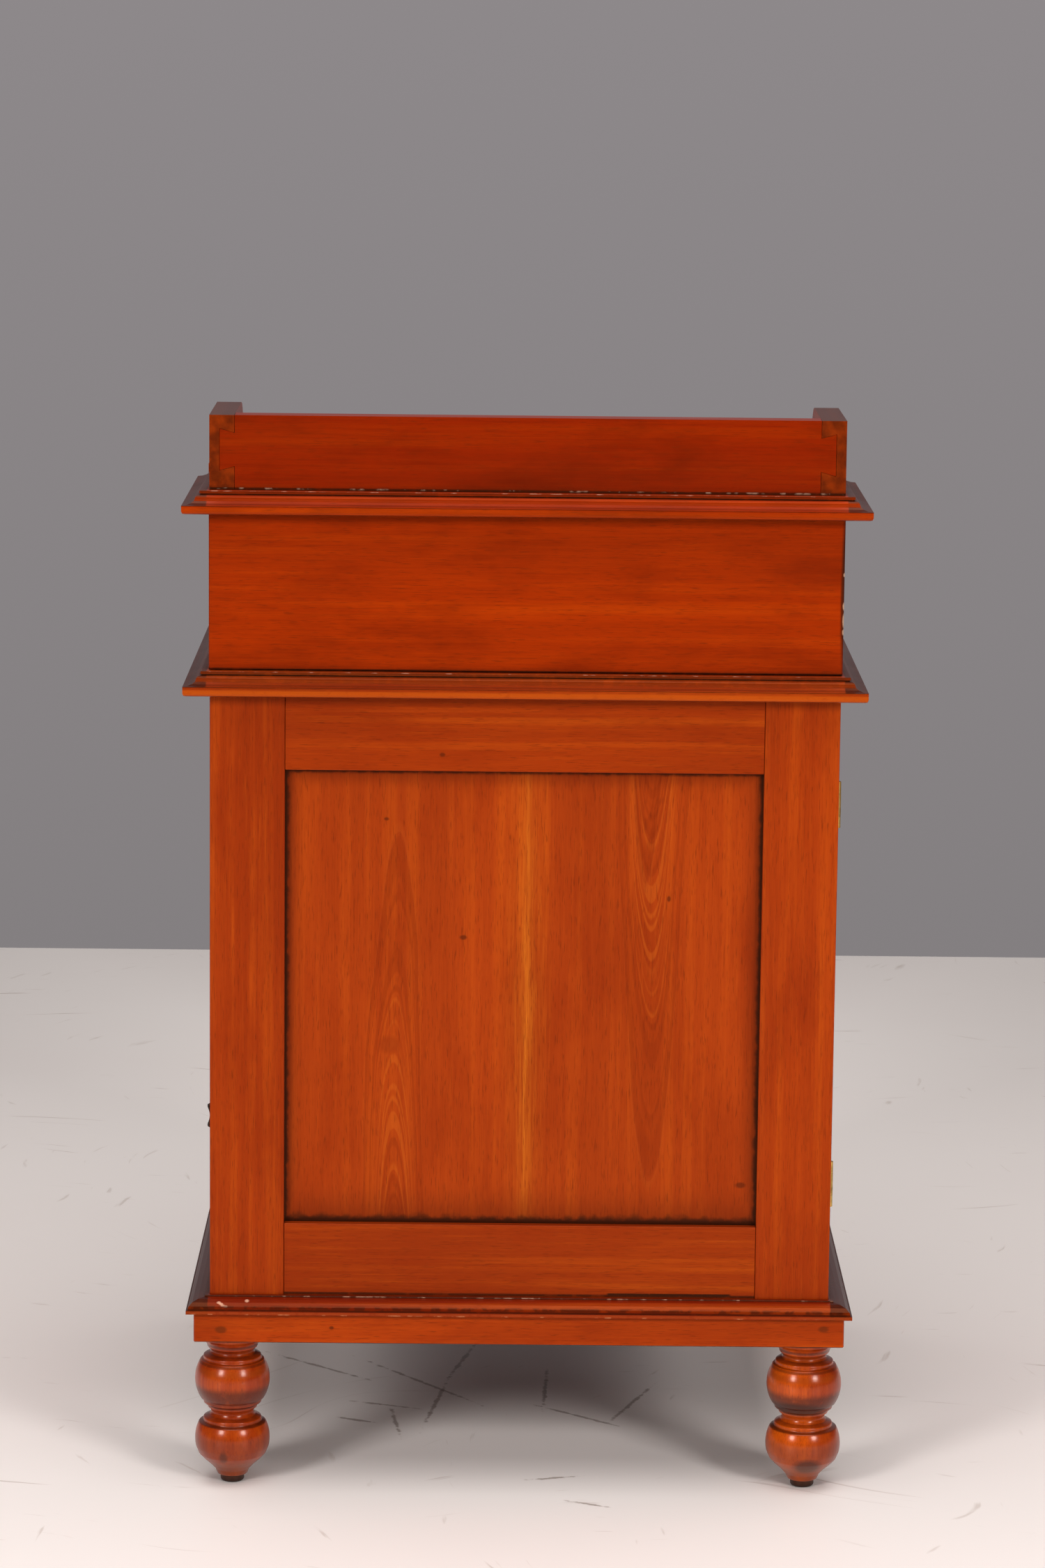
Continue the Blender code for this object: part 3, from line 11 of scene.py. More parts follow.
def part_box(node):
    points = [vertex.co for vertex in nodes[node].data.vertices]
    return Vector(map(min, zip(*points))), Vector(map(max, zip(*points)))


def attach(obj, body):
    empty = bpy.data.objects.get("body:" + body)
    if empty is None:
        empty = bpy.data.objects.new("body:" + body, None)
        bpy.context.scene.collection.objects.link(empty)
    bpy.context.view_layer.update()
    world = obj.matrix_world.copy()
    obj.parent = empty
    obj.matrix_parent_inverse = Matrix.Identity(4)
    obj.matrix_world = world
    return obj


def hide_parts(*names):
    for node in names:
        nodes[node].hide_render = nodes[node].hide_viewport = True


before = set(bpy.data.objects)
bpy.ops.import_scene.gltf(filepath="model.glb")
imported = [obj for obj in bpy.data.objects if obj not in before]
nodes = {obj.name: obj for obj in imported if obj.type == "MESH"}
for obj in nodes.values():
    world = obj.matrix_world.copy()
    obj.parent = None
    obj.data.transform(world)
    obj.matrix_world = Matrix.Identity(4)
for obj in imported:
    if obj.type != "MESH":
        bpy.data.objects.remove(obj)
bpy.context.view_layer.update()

mm = 0.001


def linear(code):
    """The linear colour, with alpha, of an sRGB hex code."""
    parts = [int(code[place : place + 2], 16) / 255 for place in (1, 3, 5)]
    parts = [part / 12.92 if part <= 0.04045 else ((part + 0.055) / 1.055) ** 2.4 for part in parts]
    return (*parts, 1)


def add(tree, kind, inputs=None, out=0, **settings):
    """A new shader node with its settings and inputs: gives back one of its outputs."""
    node = tree.nodes.new("ShaderNode" + kind)
    for name, value in settings.items():
        setattr(node, name, value)
    for key, value in (inputs or {}).items():
        socket = node.inputs[key]
        if isinstance(value, bpy.types.NodeSocket):
            tree.links.new(value, socket)
        elif isinstance(value, str):
            socket.default_value = linear(value)
        else:
            socket.default_value = value
    return node.outputs[out] if node.outputs else node


def new_material(name):
    """An empty material with a Principled shader: its tree, and the shader's inputs."""
    material = bpy.data.materials.new(name)
    material.use_nodes = True
    tree = material.node_tree
    tree.nodes.clear()
    surface = add(tree, "BsdfPrincipled")
    add(tree, "OutputMaterial", {"Surface": surface})
    return material, tree, surface.node.inputs


def dress(material, *names):
    """Gives CAD nodes their finish."""
    for name in names:
        slots = nodes[name].material_slots
        if slots:
            for slot in slots:
                slot.material = material
        else:
            nodes[name].data.materials.append(material)


# Wood: sizes are in metres and places are in the desk's own frame


@dataclass
class Line:
    """A band that runs level along a moulding or a seam: old polish, wax and dirt, and also painted
    shade and painted highlight.
    """

    z: float
    half: float  # half its height
    colour: str
    strength: float = 0.8
    broken: float = 0.0  # 0 runs on, 1 leaves only specks
    start: float = -1.0
    end: float = 1.0


@dataclass
class Spot:
    """A knot, a plug or a stain on the back."""

    x: float
    z: float
    half_wide: float
    half_tall: float
    colour: str = "#4A1606"
    strength: float = 0.75


@dataclass
class Board:
    """How one kind of board looks."""

    light: str
    dark: str
    grain: str
    bright: str = "#B7510C"  # the palest ribbons and streaks
    deep: str = "#7E2203"  # the deepest stain
    gloss: float = 0.36  # roughness of waxed shellac
    coat: float = 0.04
    mirror: float = 0.5  # how strongly the polish under the coat mirrors
    turn: tuple = None  # ("X", 0.19, "Z"): past 0.19 on X the grain runs along Z instead
    lining: tuple = None  # ("X", 0.2367, light, dark): bare wood below that place
    dovetails: tuple = None  # (front's inner face, end of the tails, lowest z, pitch)
    figure: float = 1.0  # how strongly ribbons and streaks show
    stripe: tuple = None  # (place across, hex colour) of a bright stripe of sapwood
    arches: tuple = ()  # ((place across, tip, 1 for arches or -1 for bowls, narrowness), ...)
    spots: tuple = ()
    lines: tuple = ()
    sunk: tuple = None  # (x0, x1, z0, z1) of a sunk field with dirt and painted shade along its edges
    corner_dirt_and_shade: float = 1.0  # how much old dirt and painted shade fill the corners
    sides: float = 0.0  # past this place on X, what faces up gets painted shade
    seed: float = 0.0


def grain_place(tree, axes, look):
    """The place with its last axis along the grain, and 1 where the grain turns the other way."""
    order = {"X": (2, 1, 0), "Y": (0, 2, 1), "Z": (0, 1, 2)}
    ways = (look.grain, look.turn[2] if look.turn else look.grain)
    first, second = [
        add(tree, "CombineXYZ", {slot: axes[axis] for slot, axis in enumerate(order[way])})
        for way in ways
    ]
    shift = (look.seed, look.seed * 1.7, look.seed * 2.3)
    if not look.turn:
        return add(tree, "VectorMath", {0: first, 1: shift}), None
    reach = add(tree, "Math", {0: axes["XYZ".index(look.turn[0])]}, operation="ABSOLUTE")
    past = add(tree, "Math", {0: reach, 1: look.turn[1]}, operation="GREATER_THAN")
    run = add(tree, "Mix", {0: past, 4: first, 5: second}, out=1, data_type="VECTOR")
    moved = add(tree, "VectorMath", {0: run, 1: shift})
    again = add(tree, "VectorMath", {0: past, 1: (0.31, 0.37, 0.23)}, operation="MULTIPLY")
    return add(tree, "VectorMath", {0: moved, 1: again}), past


def growth_figure(tree, colour, axes, sway, look):
    """Growth rings cut on the slant: long nested arches or bowls, uneven in width and strength."""
    for across, tip, side, narrow in look.arches:
        x = add(tree, "Math", {0: axes[0], 1: across}, operation="SUBTRACT")
        x = add(tree, "Math", {0: sway, 1: 0.03, 2: x}, operation="MULTIPLY_ADD")
        height = add(tree, "Math", {0: axes[2], 1: -side, 2: side * tip}, operation="MULTIPLY_ADD")
        square = add(tree, "Math", {0: x, 1: x}, operation="MULTIPLY")
        depth = add(tree, "Math", {0: square, 1: -narrow, 2: height}, operation="MULTIPLY_ADD")
        rings = add(
            tree,
            "TexNoise",
            {"W": depth, "Scale": 15.0, "Detail": 3.0, "Roughness": 0.7},
            noise_dimensions="1D",
        )
        width = add(tree, "Math", {0: x}, operation="ABSOLUTE")
        near = add(tree, "MapRange", {0: width, 1: 0.02, 2: 0.06, 3: 1.0, 4: 0.0})
        inside = add(tree, "MapRange", {0: depth, 1: -0.012, 2: 0.004})
        here = add(tree, "Math", {0: near, 1: inside}, operation="MULTIPLY")
        for low, high, code, strength in (
            (0.53, 0.58, "#731F03", 0.38),
            (0.47, 0.43, "#BB5916", 0.32),
        ):
            band = add(tree, "MapRange", {0: rings, 1: low, 2: high, 3: 0.0, 4: strength})
            band = add(tree, "Math", {0: band, 1: here}, operation="MULTIPLY")
            colour = add(tree, "Mix", {0: band, 6: colour, 7: code}, out=2, data_type="RGBA")
        rim = add(tree, "Math", {0: depth}, operation="ABSOLUTE")
        rim = add(tree, "MapRange", {0: rim, 1: 0.002, 2: 0.010, 3: 0.36, 4: 0.0})
        rim = add(tree, "Math", {0: rim, 1: near}, operation="MULTIPLY")
        colour = add(tree, "Mix", {0: rim, 6: colour, 7: "#8A2E0A"}, out=2, data_type="RGBA")
    return colour


def sapwood_stripe(tree, colour, axes, sway, streak, look):
    """The seam of golden sapwood where the panel's two boards meet, brightest half way up."""
    across, glow = look.stripe
    x = add(tree, "Math", {0: axes[0], 1: across}, operation="SUBTRACT")
    x = add(tree, "Math", {0: sway, 1: 0.012, 2: x}, operation="MULTIPLY_ADD")
    width = add(tree, "Math", {0: x}, operation="ABSOLUTE")
    up = add(tree, "Math", {0: axes[2], 1: 0.41}, operation="SUBTRACT")
    up = add(tree, "Math", {0: up}, operation="ABSOLUTE")
    level = add(tree, "MapRange", {0: up, 1: 0.03, 2: 0.2, 3: 1.0, 4: 0.45})
    broken = add(tree, "MapRange", {0: streak, 1: 0.38, 2: 0.58, 3: 1.0, 4: 0.3})
    level = add(tree, "Math", {0: level, 1: broken}, operation="MULTIPLY")
    for half, strength in ((0.024, 0.25), (0.010, 0.35), (0.0035, 0.5)):
        band = add(
            tree,
            "MapRange",
            {0: width, 1: 0.0, 2: half, 3: strength, 4: 0.0},
            interpolation_type="SMOOTHSTEP",
        )
        band = add(tree, "Math", {0: band, 1: level}, operation="MULTIPLY")
        colour = add(tree, "Mix", {0: band, 6: colour, 7: glow}, out=2, data_type="RGBA")
    return colour


def knots_and_stains(tree, colour, place, sway, look):
    """Small knots, plugs and stains: ovals seen from the back, with uneven rims."""
    for spot in look.spots:
        moved = add(tree, "VectorMath", {0: place, 1: (-spot.x, 0, -spot.z)})
        scale = (1 / spot.half_wide, 0, 1 / spot.half_tall)
        oval = add(tree, "VectorMath", {0: moved, 1: scale}, operation="MULTIPLY")
        size = add(tree, "VectorMath", {0: oval}, out=1, operation="LENGTH")
        size = add(tree, "Math", {0: sway, 1: 0.9, 2: size}, operation="MULTIPLY_ADD")
        inside = add(tree, "MapRange", {0: size, 1: 0.8, 2: 1.5, 3: spot.strength, 4: 0.0})
        colour = add(tree, "Mix", {0: inside, 6: colour, 7: spot.colour}, out=2, data_type="RGBA")
    return colour


def level_lines(tree, colour, axes, facing, ragged, look):
    """Lines of dirt and painted shade in the quirks and seams, and worn or waxed lines along the
    edges, some with a painted highlight.
    """
    if not look.lines:
        return colour
    steep = add(tree, "Math", {0: facing[2]}, operation="ABSOLUTE")
    steep = add(tree, "MapRange", {0: steep, 1: 0.9, 2: 0.99, 3: 1.0, 4: 0.0})
    for line in look.lines:
        off = add(tree, "Math", {0: axes[2], 1: line.z}, operation="SUBTRACT")
        off = add(tree, "Math", {0: off}, operation="ABSOLUTE")
        band = add(
            tree,
            "MapRange",
            {0: off, 1: line.half * 0.35, 2: line.half, 3: line.strength, 4: 0.0},
            interpolation_type="SMOOTHSTEP",
        )
        low = 0.32 + line.broken * 0.24
        patch = {0: ragged, 1: low, 2: low + 0.1, 3: 0.7 * (1 - line.broken), 4: 1.0}
        for part in (add(tree, "MapRange", patch), steep):
            band = add(tree, "Math", {0: band, 1: part}, operation="MULTIPLY")
        if line.start > -1 or line.end < 1:
            after = add(tree, "MapRange", {0: axes[0], 1: line.start, 2: line.start + 2 * mm})
            before = add(tree, "MapRange", {0: axes[0], 1: line.end, 2: line.end - 2 * mm})
            stretch = add(tree, "Math", {0: after, 1: before}, operation="MULTIPLY")
            band = add(tree, "Math", {0: band, 1: stretch}, operation="MULTIPLY")
        colour = add(tree, "Mix", {0: band, 6: colour, 7: line.colour}, out=2, data_type="RGBA")
    return colour


def panel_edge_dirt_and_shade(tree, colour, axes, ragged, look):
    """Black polish packed round a sunk panel, with painted shade of the frame's edges: a thin line,
    twice as thick along the bottom, and a dark haze.
    """
    x0, x1, z0, z1 = look.sunk
    sides = [
        add(tree, "Math", {0: axes[0], 1: x0}, operation="SUBTRACT"),
        add(tree, "Math", {0: x1, 1: axes[0]}, operation="SUBTRACT"),
        add(tree, "Math", {0: z1, 1: axes[2]}, operation="SUBTRACT"),
    ]
    foot = add(tree, "Math", {0: axes[2], 1: z0}, operation="SUBTRACT")
    gap = add(tree, "Math", {0: foot, 1: 0.5}, operation="MULTIPLY")
    for side in sides:
        gap = add(tree, "Math", {0: gap, 1: side}, operation="MINIMUM")
    reach = add(tree, "MapRange", {0: ragged, 1: 0.3, 2: 0.7, 3: 2.2 * mm, 4: 5.2 * mm})
    share = add(tree, "Math", {0: gap, 1: reach}, operation="DIVIDE")
    dark_rim = add(
        tree,
        "MapRange",
        {0: share, 1: 0.25, 2: 1.1, 3: 0.95, 4: 0.0},
        interpolation_type="SMOOTHSTEP",
    )
    dirt_and_shade_haze = add(
        tree,
        "MapRange",
        {0: gap, 1: 0.0, 2: 18 * mm, 3: 0.55, 4: 0.0},
        interpolation_type="SMOOTHSTEP",
    )
    colour = add(tree, "Mix", {0: dirt_and_shade_haze, 6: colour, 7: "#561604"}, out=2, data_type="RGBA")
    return add(tree, "Mix", {0: dark_rim, 6: colour, 7: "#190A06"}, out=2, data_type="RGBA")


def bare_wood(tree, axes, facing, look):
    """1 on the unpolished wood behind a drawer's front, with its tails let into the front."""
    axis, limit = look.lining[:2]
    behind = add(tree, "Math", {0: axes["XYZ".index(axis)], 1: limit}, operation="LESS_THAN")
    if not look.dovetails:
        return behind
    root, end, low, pitch = look.dovetails
    height = add(tree, "Math", {0: axes[2], 1: low}, operation="SUBTRACT")
    middle = add(tree, "Math", {0: height, 1: pitch / 2}, operation="PINGPONG")
    half_tail, rake = pitch * 0.3, 0.18
    edge = {0: axes[0], 1: rake, 2: half_tail - root * rake}
    edge = add(tree, "Math", edge, operation="MULTIPLY_ADD")
    tail = add(tree, "Math", {0: middle, 1: edge}, operation="LESS_THAN")
    short = add(tree, "Math", {0: axes[0], 1: end}, operation="LESS_THAN")
    side = add(tree, "Math", {0: facing[1]}, operation="ABSOLUTE")
    side = add(tree, "Math", {0: side, 1: 0.5}, operation="GREATER_THAN")
    for part in (short, side):
        tail = add(tree, "Math", {0: tail, 1: part}, operation="MULTIPLY")
    return add(tree, "Math", {0: behind, 1: tail}, operation="MAXIMUM")


def grain_layers(tree, run):
    """Noises drawn out on the grain: clouds, blotches, ribbons, streaks and pores."""
    layers = []
    for scale, detail, rough in (
        ((10, 10, 2.0), 3, 0.5),  # clouds of 100 mm
        ((26, 26, 9), 4, 0.62),  # blotches of 40 mm
        ((85, 85, 1.3), 4, 0.6),  # ribbons of 4 to 12 mm
        ((640, 640, 16), 3, 0.7),  # streaks of 1 mm
        ((1700, 1700, 90), 1, 0.5),  # real pores are 0.2 mm wide: 0.4 mm wide here, to show
    ):
        spread = add(tree, "VectorMath", {0: run, 1: scale}, operation="MULTIPLY")
        inputs = {"Vector": spread, "Scale": 1.0, "Detail": detail, "Roughness": rough}
        layers.append(add(tree, "TexNoise", inputs))
    return layers


def stain(tree, layers, look):
    """The stained wood: two tones in clouds, with pale ribbons and deep blotches over them."""
    cloud, blotch, ribbon, streak, _ = layers
    tone = add(tree, "MapRange", {0: cloud, 1: 0.34, 2: 0.66, 3: 0.0, 4: 0.6})
    ribs = add(tree, "MapRange", {0: ribbon, 1: 0.35, 2: 0.68, 3: 0.0, 4: 0.4 * look.figure})
    tone = add(tree, "Math", {0: tone, 1: ribs})
    colour = add(tree, "Mix", {0: tone, 6: look.light, 7: look.dark}, out=2, data_type="RGBA")
    for layer, start, end, code, strength in (
        (ribbon, 0.50, 0.34, look.bright, 0.36),
        (blotch, 0.48, 0.72, look.deep, 0.75),
        (streak, 0.50, 0.74, look.deep, 0.5),
        (streak, 0.46, 0.26, look.bright, 0.22),
    ):
        share = {0: layer, 1: start, 2: end, 3: 0.0, 4: strength * look.figure}
        share = add(tree, "MapRange", share)
        colour = add(tree, "Mix", {0: share, 6: colour, 7: code}, out=2, data_type="RGBA")
    return colour, tone


def end_grain(tree, colour, facing, turned, ragged, look):
    """End grain drinks more stain: dark rings on the faces that the grain runs out of."""
    end = add(tree, "Math", {0: facing["XYZ".index(look.grain)]}, operation="ABSOLUTE")
    if look.turn:
        other = add(tree, "Math", {0: facing["XYZ".index(look.turn[2])]}, operation="ABSOLUTE")
        end = add(tree, "Mix", {0: turned, 2: end, 3: other})
    end = add(tree, "MapRange", {0: end, 1: 0.75, 2: 0.95, 3: 0.0, 4: 0.85})
    rings = add(tree, "MapRange", {0: ragged, 1: 0.35, 2: 0.65})
    cut = add(tree, "Mix", {0: rings, 6: "#762603", 7: "#471302"}, out=2, data_type="RGBA")
    return add(tree, "Mix", {0: end, 6: colour, 7: cut}, out=2, data_type="RGBA")


def shade_upward_sides(tree, colour, axes, facing, look):
    """Painted shade: what faces up past a place on X is darkened, as it reads under grazing light.
    """
    reach = add(tree, "Math", {0: axes[0]}, operation="ABSOLUTE")
    painted_dim = add(tree, "MapRange", {0: reach, 1: look.sides, 2: look.sides + mm, 3: 0.0, 4: 0.85})
    upward = add(tree, "MapRange", {0: facing[2], 1: 0.3, 2: 0.7})
    painted_dim = add(tree, "Math", {0: painted_dim, 1: upward}, operation="MULTIPLY")
    return add(tree, "Mix", {0: painted_dim, 6: colour, 7: "#240C05"}, out=2, data_type="RGBA")


def wood(name, look):
    """Stained mahogany under waxed shellac: ribbons, streaks, open pores, and dirt with painted
    shade in corners.
    """
    material, tree, shader = new_material(name)
    where = add(tree, "TexCoord").node.outputs
    place = where["Object"]
    axes = add(tree, "SeparateXYZ", {0: place}).node.outputs
    facing = add(tree, "SeparateXYZ", {0: where["Normal"]}).node.outputs
    run, turned = grain_place(tree, axes, look)
    layers = grain_layers(tree, run)
    cloud, _, _, streak, pore = layers
    ragged = add(tree, "TexNoise", {"Vector": place, "Scale": 130.0, "Detail": 4.0})
    sway = add(tree, "Math", {0: cloud, 1: 0.5}, operation="SUBTRACT")

    colour, tone = stain(tree, layers, look)
    if look.arches:
        colour = growth_figure(tree, colour, axes, sway, look)
    if look.stripe:
        colour = sapwood_stripe(tree, colour, axes, sway, streak, look)
    pores = add(tree, "MapRange", {0: pore, 1: 0.6, 2: 0.7, 3: 0.0, 4: 0.5})
    colour = add(tree, "Mix", {0: pores, 6: colour, 7: "#571703"}, out=2, data_type="RGBA")
    if look.spots:
        colour = knots_and_stains(tree, colour, place, sway, look)
    colour = end_grain(tree, colour, facing, turned, ragged, look)
    if look.lining:
        bare = bare_wood(tree, axes, facing, look)
        plain, shade = look.lining[2:]
        plain = add(tree, "Mix", {0: tone, 6: plain, 7: shade}, out=2, data_type="RGBA")
        colour = add(tree, "Mix", {0: bare, 6: colour, 7: plain}, out=2, data_type="RGBA")
    if look.sides:
        colour = shade_upward_sides(tree, colour, axes, facing, look)
    if look.sunk:
        colour = panel_edge_dirt_and_shade(tree, colour, axes, ragged, look)
    colour = level_lines(tree, colour, axes, facing, ragged, look)

    # Dirt and painted shade in coves, quirks, seams and the turner's grooves: darker where ambient
    # occlusion finds near surfaces
    occlusion = add(tree, "AmbientOcclusion", {"Distance": 7 * mm}, out=1, samples=6)
    dirt_and_shade = add(tree, "MapRange", {0: occlusion, 1: 0.3, 2: 0.85, 3: look.corner_dirt_and_shade, 4: 0.0})
    patchy = add(tree, "MapRange", {0: ragged, 1: 0.35, 2: 0.6, 3: 0.45, 4: 0.95})
    dirt_and_shade = add(tree, "Math", {0: dirt_and_shade, 1: patchy}, operation="MULTIPLY", use_clamp=True)
    colour = add(tree, "Mix", {0: dirt_and_shade, 6: colour, 7: "#190A05"}, out=2, data_type="RGBA")

    # Handling leaves the polish smoother in places, and dirt and bare wood are dull
    handled = {0: cloud, 1: 0.3, 2: 0.7, 3: look.gloss - 0.04, 4: look.gloss + 0.06}
    handled = add(tree, "MapRange", handled)
    rough = add(tree, "Math", {0: dirt_and_shade, 1: 0.3, 2: handled}, operation="MULTIPLY_ADD")
    if look.lining:
        rough = add(tree, "Math", {0: bare, 1: 0.3, 2: rough}, operation="MULTIPLY_ADD")
    height = add(tree, "Math", {0: pores, 1: -1.5, 2: streak}, operation="MULTIPLY_ADD")
    bump = add(tree, "Bump", {"Strength": 0.15, "Distance": 0.2 * mm, "Height": height})
    tree.links.new(colour, shader["Base Color"])
    tree.links.new(rough, shader["Roughness"])
    tree.links.new(bump, shader["Normal"])
    shader["IOR"].default_value = 1.5
    shader["Specular IOR Level"].default_value = look.mirror
    # Old orange shellac tints what it mirrors head on, and stays clear at a slant
    shader["Specular Tint"].default_value = linear("#FF8A4A")
    shader["Coat Weight"].default_value = look.coat
    shader["Coat Roughness"].default_value = 0.2
    return material


# Tones, grain and dirt that several boards share
STILE = {"light": "#9D3608", "dark": "#7F2504", "grain": "Z", "corner_dirt_and_shade": 0.18}
RAIL = {"light": "#993205", "dark": "#7D2504", "grain": "X", "corner_dirt_and_shade": 0.18}
PANEL = {"light": "#A13A0B", "dark": "#862B06", "grain": "Z", "figure": 0.8}
BOX = {
    "light": "#9C2B00",
    "dark": "#811F00",
    "grain": "X",
    "bright": "#AE3F02",
    "deep": "#651200",
    "figure": 0.8,
    "coat": 0.0,
}
SIDE = {"light": "#983004", "dark": "#7B2103", "grain": "Y"}

# Places that lines of dirt and turns of the grain follow
field_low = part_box("back_rail_bottom")[1][2]
field_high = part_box("back_rail_top")[0][2]
stile_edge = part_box("back_stile_right")[0][0]
door_low, door_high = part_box("door_frame")
drawer_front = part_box("drawer_lock")[0][0]
moulding_low, moulding_high = (corner[2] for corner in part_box("plinth_moulding"))
waist_low, waist_high = (corner[2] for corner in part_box("waist_board"))
top_low, top_high = (corner[2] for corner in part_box("top_board"))
door_stile = 48 * mm
# Where the mouldings' side lengths begin, past their mitres
top_mitre, waist_mitre, plinth_mitre = 256.1 * mm, 256.5 * mm, 255.2 * mm

# Pedestal: ribbon-figured mahogany, stained orange red and waxed over shellac
dress(wood("stile_mahogany_left", Board(**STILE, seed=1.3)), "back_stile_left")
dress(wood("stile_mahogany_right", Board(**STILE, seed=2.9)), "back_stile_right")
rail_knot = Spot(0.0666, 0.6156, 0.0018, 0.0013)
dress(wood("rail_mahogany_top", Board(**RAIL, seed=4.1, spots=(rail_knot,))), "back_rail_top")
seam = Line(0.1665, 1.5 * mm, "#120805", 0.97, 0.0, -0.1747, -0.0715)
wax_blob = Spot(0.2414, 0.1583, 0.0015, 0.0015, "#D9A583", 0.7)
rail_foot = Line(moulding_high + 1.3 * mm, 1.6 * mm, "#1C0A05", 0.85)
rail_look = Board(
    **{**RAIL, "light": "#8B2D06"}, seed=5.6, lines=(rail_foot, seam), spots=(wax_blob,)
)
dress(wood("rail_mahogany_bottom", rail_look), "back_rail_bottom")
# Its sunk field gets a dark line of packed polish and painted shade round its edges
back_panel_look = Board(
    **PANEL,
    seed=7.2,
    stripe=(-0.003, "#C86D1A"),
    arches=((0.104, 0.549, 1, 420), (-0.104, 0.262, -1, 330), (-0.099, 0.508, -1, 620)),
    spots=(
        Spot(0.1116, 0.5611, 0.0018, 0.0012),
        Spot(0.0486, 0.4636, 0.0024, 0.0016),
        Spot(-0.1185, 0.4971, 0.0012, 0.002),
        Spot(0.1085, 0.3735, 0.0075, 0.006, "#7A2606", 0.5),
        Spot(-0.181, 0.258, 0.0035, 0.002),
    ),
    sunk=(-stile_edge, stile_edge, field_low, field_high),
)
dress(wood("panel_mahogany_back", back_panel_look), "back_panel")
# Its sunk field gets a dark line of packed polish and painted shade round its edges
front_panel_look = Board(
    **PANEL,
    seed=9.7,
    arches=((0.06, 0.53, 1, 500), (-0.09, 0.31, -1, 600)),
    sunk=(-stile_edge, stile_edge, field_low, field_high),
)
dress(wood("panel_mahogany_front", front_panel_look), "front_panel")
dress(wood("panel_mahogany_door", Board(**PANEL, seed=11.4)), "door_panel")
front_look = Board(**RAIL, seed=12.8, turn=("X", stile_edge, "Z"))
dress(wood("frame_mahogany_front", front_look), "front_frame")
door_edge = (door_high[1] - door_low[1]) / 2 - door_stile
door_look = Board(**SIDE, seed=14.2, turn=("Y", door_edge, "Z"))
dress(wood("frame_mahogany_door", door_look), "door_frame")

# Writing box
box_foot = Line(waist_high + 0.6 * mm, 1.8 * mm, "#1C0A05", 0.8)
# The box's end has gone black, and its stopping shows where bits chipped off
chips = (Spot(-0.2553, 0.752, 0.0022, 0.055, "#1E0D07", 0.85),) + tuple(
    Spot(-0.2554, z, 0.0008, tall, "#C9A183", 0.75)
    for z, tall in ((0.728, 0.0045), (0.7185, 0.002), (0.7395, 0.0025), (0.765, 0.0015))
)
box_look = Board(**BOX, seed=16.5, lines=(box_foot,), spots=chips)
dress(wood("box_mahogany_back", box_look), "box_back")
dress(wood("box_mahogany_front", Board(**BOX, seed=17.9)), "box_front")
dress(wood("box_mahogany_sides", Board(**SIDE, seed=18.8)), "box_side_left", "box_side_right")

# Gallery: redder than the rest, its sides browner
gallery_foot = (
    Line(top_high + 0.9 * mm, 1.5 * mm, "#1C0A05", 0.85),
    Line(top_high + 1.2 * mm, 0.9 * mm, "#C9A48C", 0.6, 1.0),
)
gallery_back_look = Board(
    light="#821A00",
    dark="#6C1300",
    grain="X",
    bright="#902F00",
    deep="#510B00",
    figure=0.8,
    coat=0.0,
    seed=20.3,
    lines=gallery_foot,
)
dress(wood("gallery_mahogany_back", gallery_back_look), "gallery_back")
# Past 0.2 on X, the gallery sides' upward faces get painted shade
gallery_side_look = Board(
    light="#8D2D09", dark="#691A03", grain="Y", seed=21.6, lines=gallery_foot, sides=0.2
)
dress(wood("gallery_mahogany_sides", gallery_side_look), "gallery_side_left", "gallery_side_right")


# Top and waist board, with the same moulded edge


def edge_dirt_and_shade_lines(low, high, lip_wear_and_shine):
    """Lines of a moulded edge: dirt and painted shade in its quirk and at the foot of its cove, and
    a paler lip that is wear and a painted highlight.
    """
    return (
        Line(high - 1.0 * mm, 1.5 * mm, "#3A1004", 0.6),
        Line(high - 2.9 * mm, 0.9 * mm, "#160805", 0.95),
        Line(high - 6.5 * mm, 1.3 * mm, "#7A2404", 0.35),
        Line(high - 10.6 * mm, 1.3 * mm, "#260B03", 0.85),
        Line(low + 3.2 * mm, 3.4 * mm, "#BF550E", lip_wear_and_shine),
        Line(low + 0.3 * mm, 0.9 * mm, "#4A1503", 0.6),
        Line(high, 0.8 * mm, "#B98E78", 0.5, 1.0),
    )


top_lines = edge_dirt_and_shade_lines(top_low, top_high, 0.1)
# Past the mitres, the top board's upward faces get painted shade
top_look = Board(**{**BOX, "light": "#902200"}, seed=23.1, lines=top_lines, sides=top_mitre)
dress(wood("top_mahogany", top_look), "top_board")
dress(wood("lid_mahogany", Board(**BOX, seed=24.4)), "lid_board", "lid_ledge")
waist_grime = Line(waist_high - 5 * mm, 5.5 * mm, "#4A1805", 0.5, 0.2)
waist_lines = (waist_grime, *edge_dirt_and_shade_lines(waist_low, waist_high, 0.5))
# Past the mitres, the waist board's upward faces get painted shade
waist_look = Board(
    light="#9B3404", dark="#6F1F03", grain="X", seed=25.9, lines=waist_lines, sides=waist_mitre
)
dress(wood("waist_mahogany", waist_look), "waist_board")

# Plinth and its moulding
plinth_spots = (
    Spot(0.2449, 0.137, 0.0036, 0.0022, "#5A2108", 0.8),
    Spot(-0.2504, 0.1419, 0.0036, 0.0022, "#5A2108", 0.8),
    Spot(0.154, 0.1395, 0.0014, 0.0011),
)


def underside(node):
    """Nobody sees the underside of a board: it is bare wood, brown with age."""
    return ("Z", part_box(node)[0][2] + 0.5 * mm, "#3B2A20", "#2A1D16")


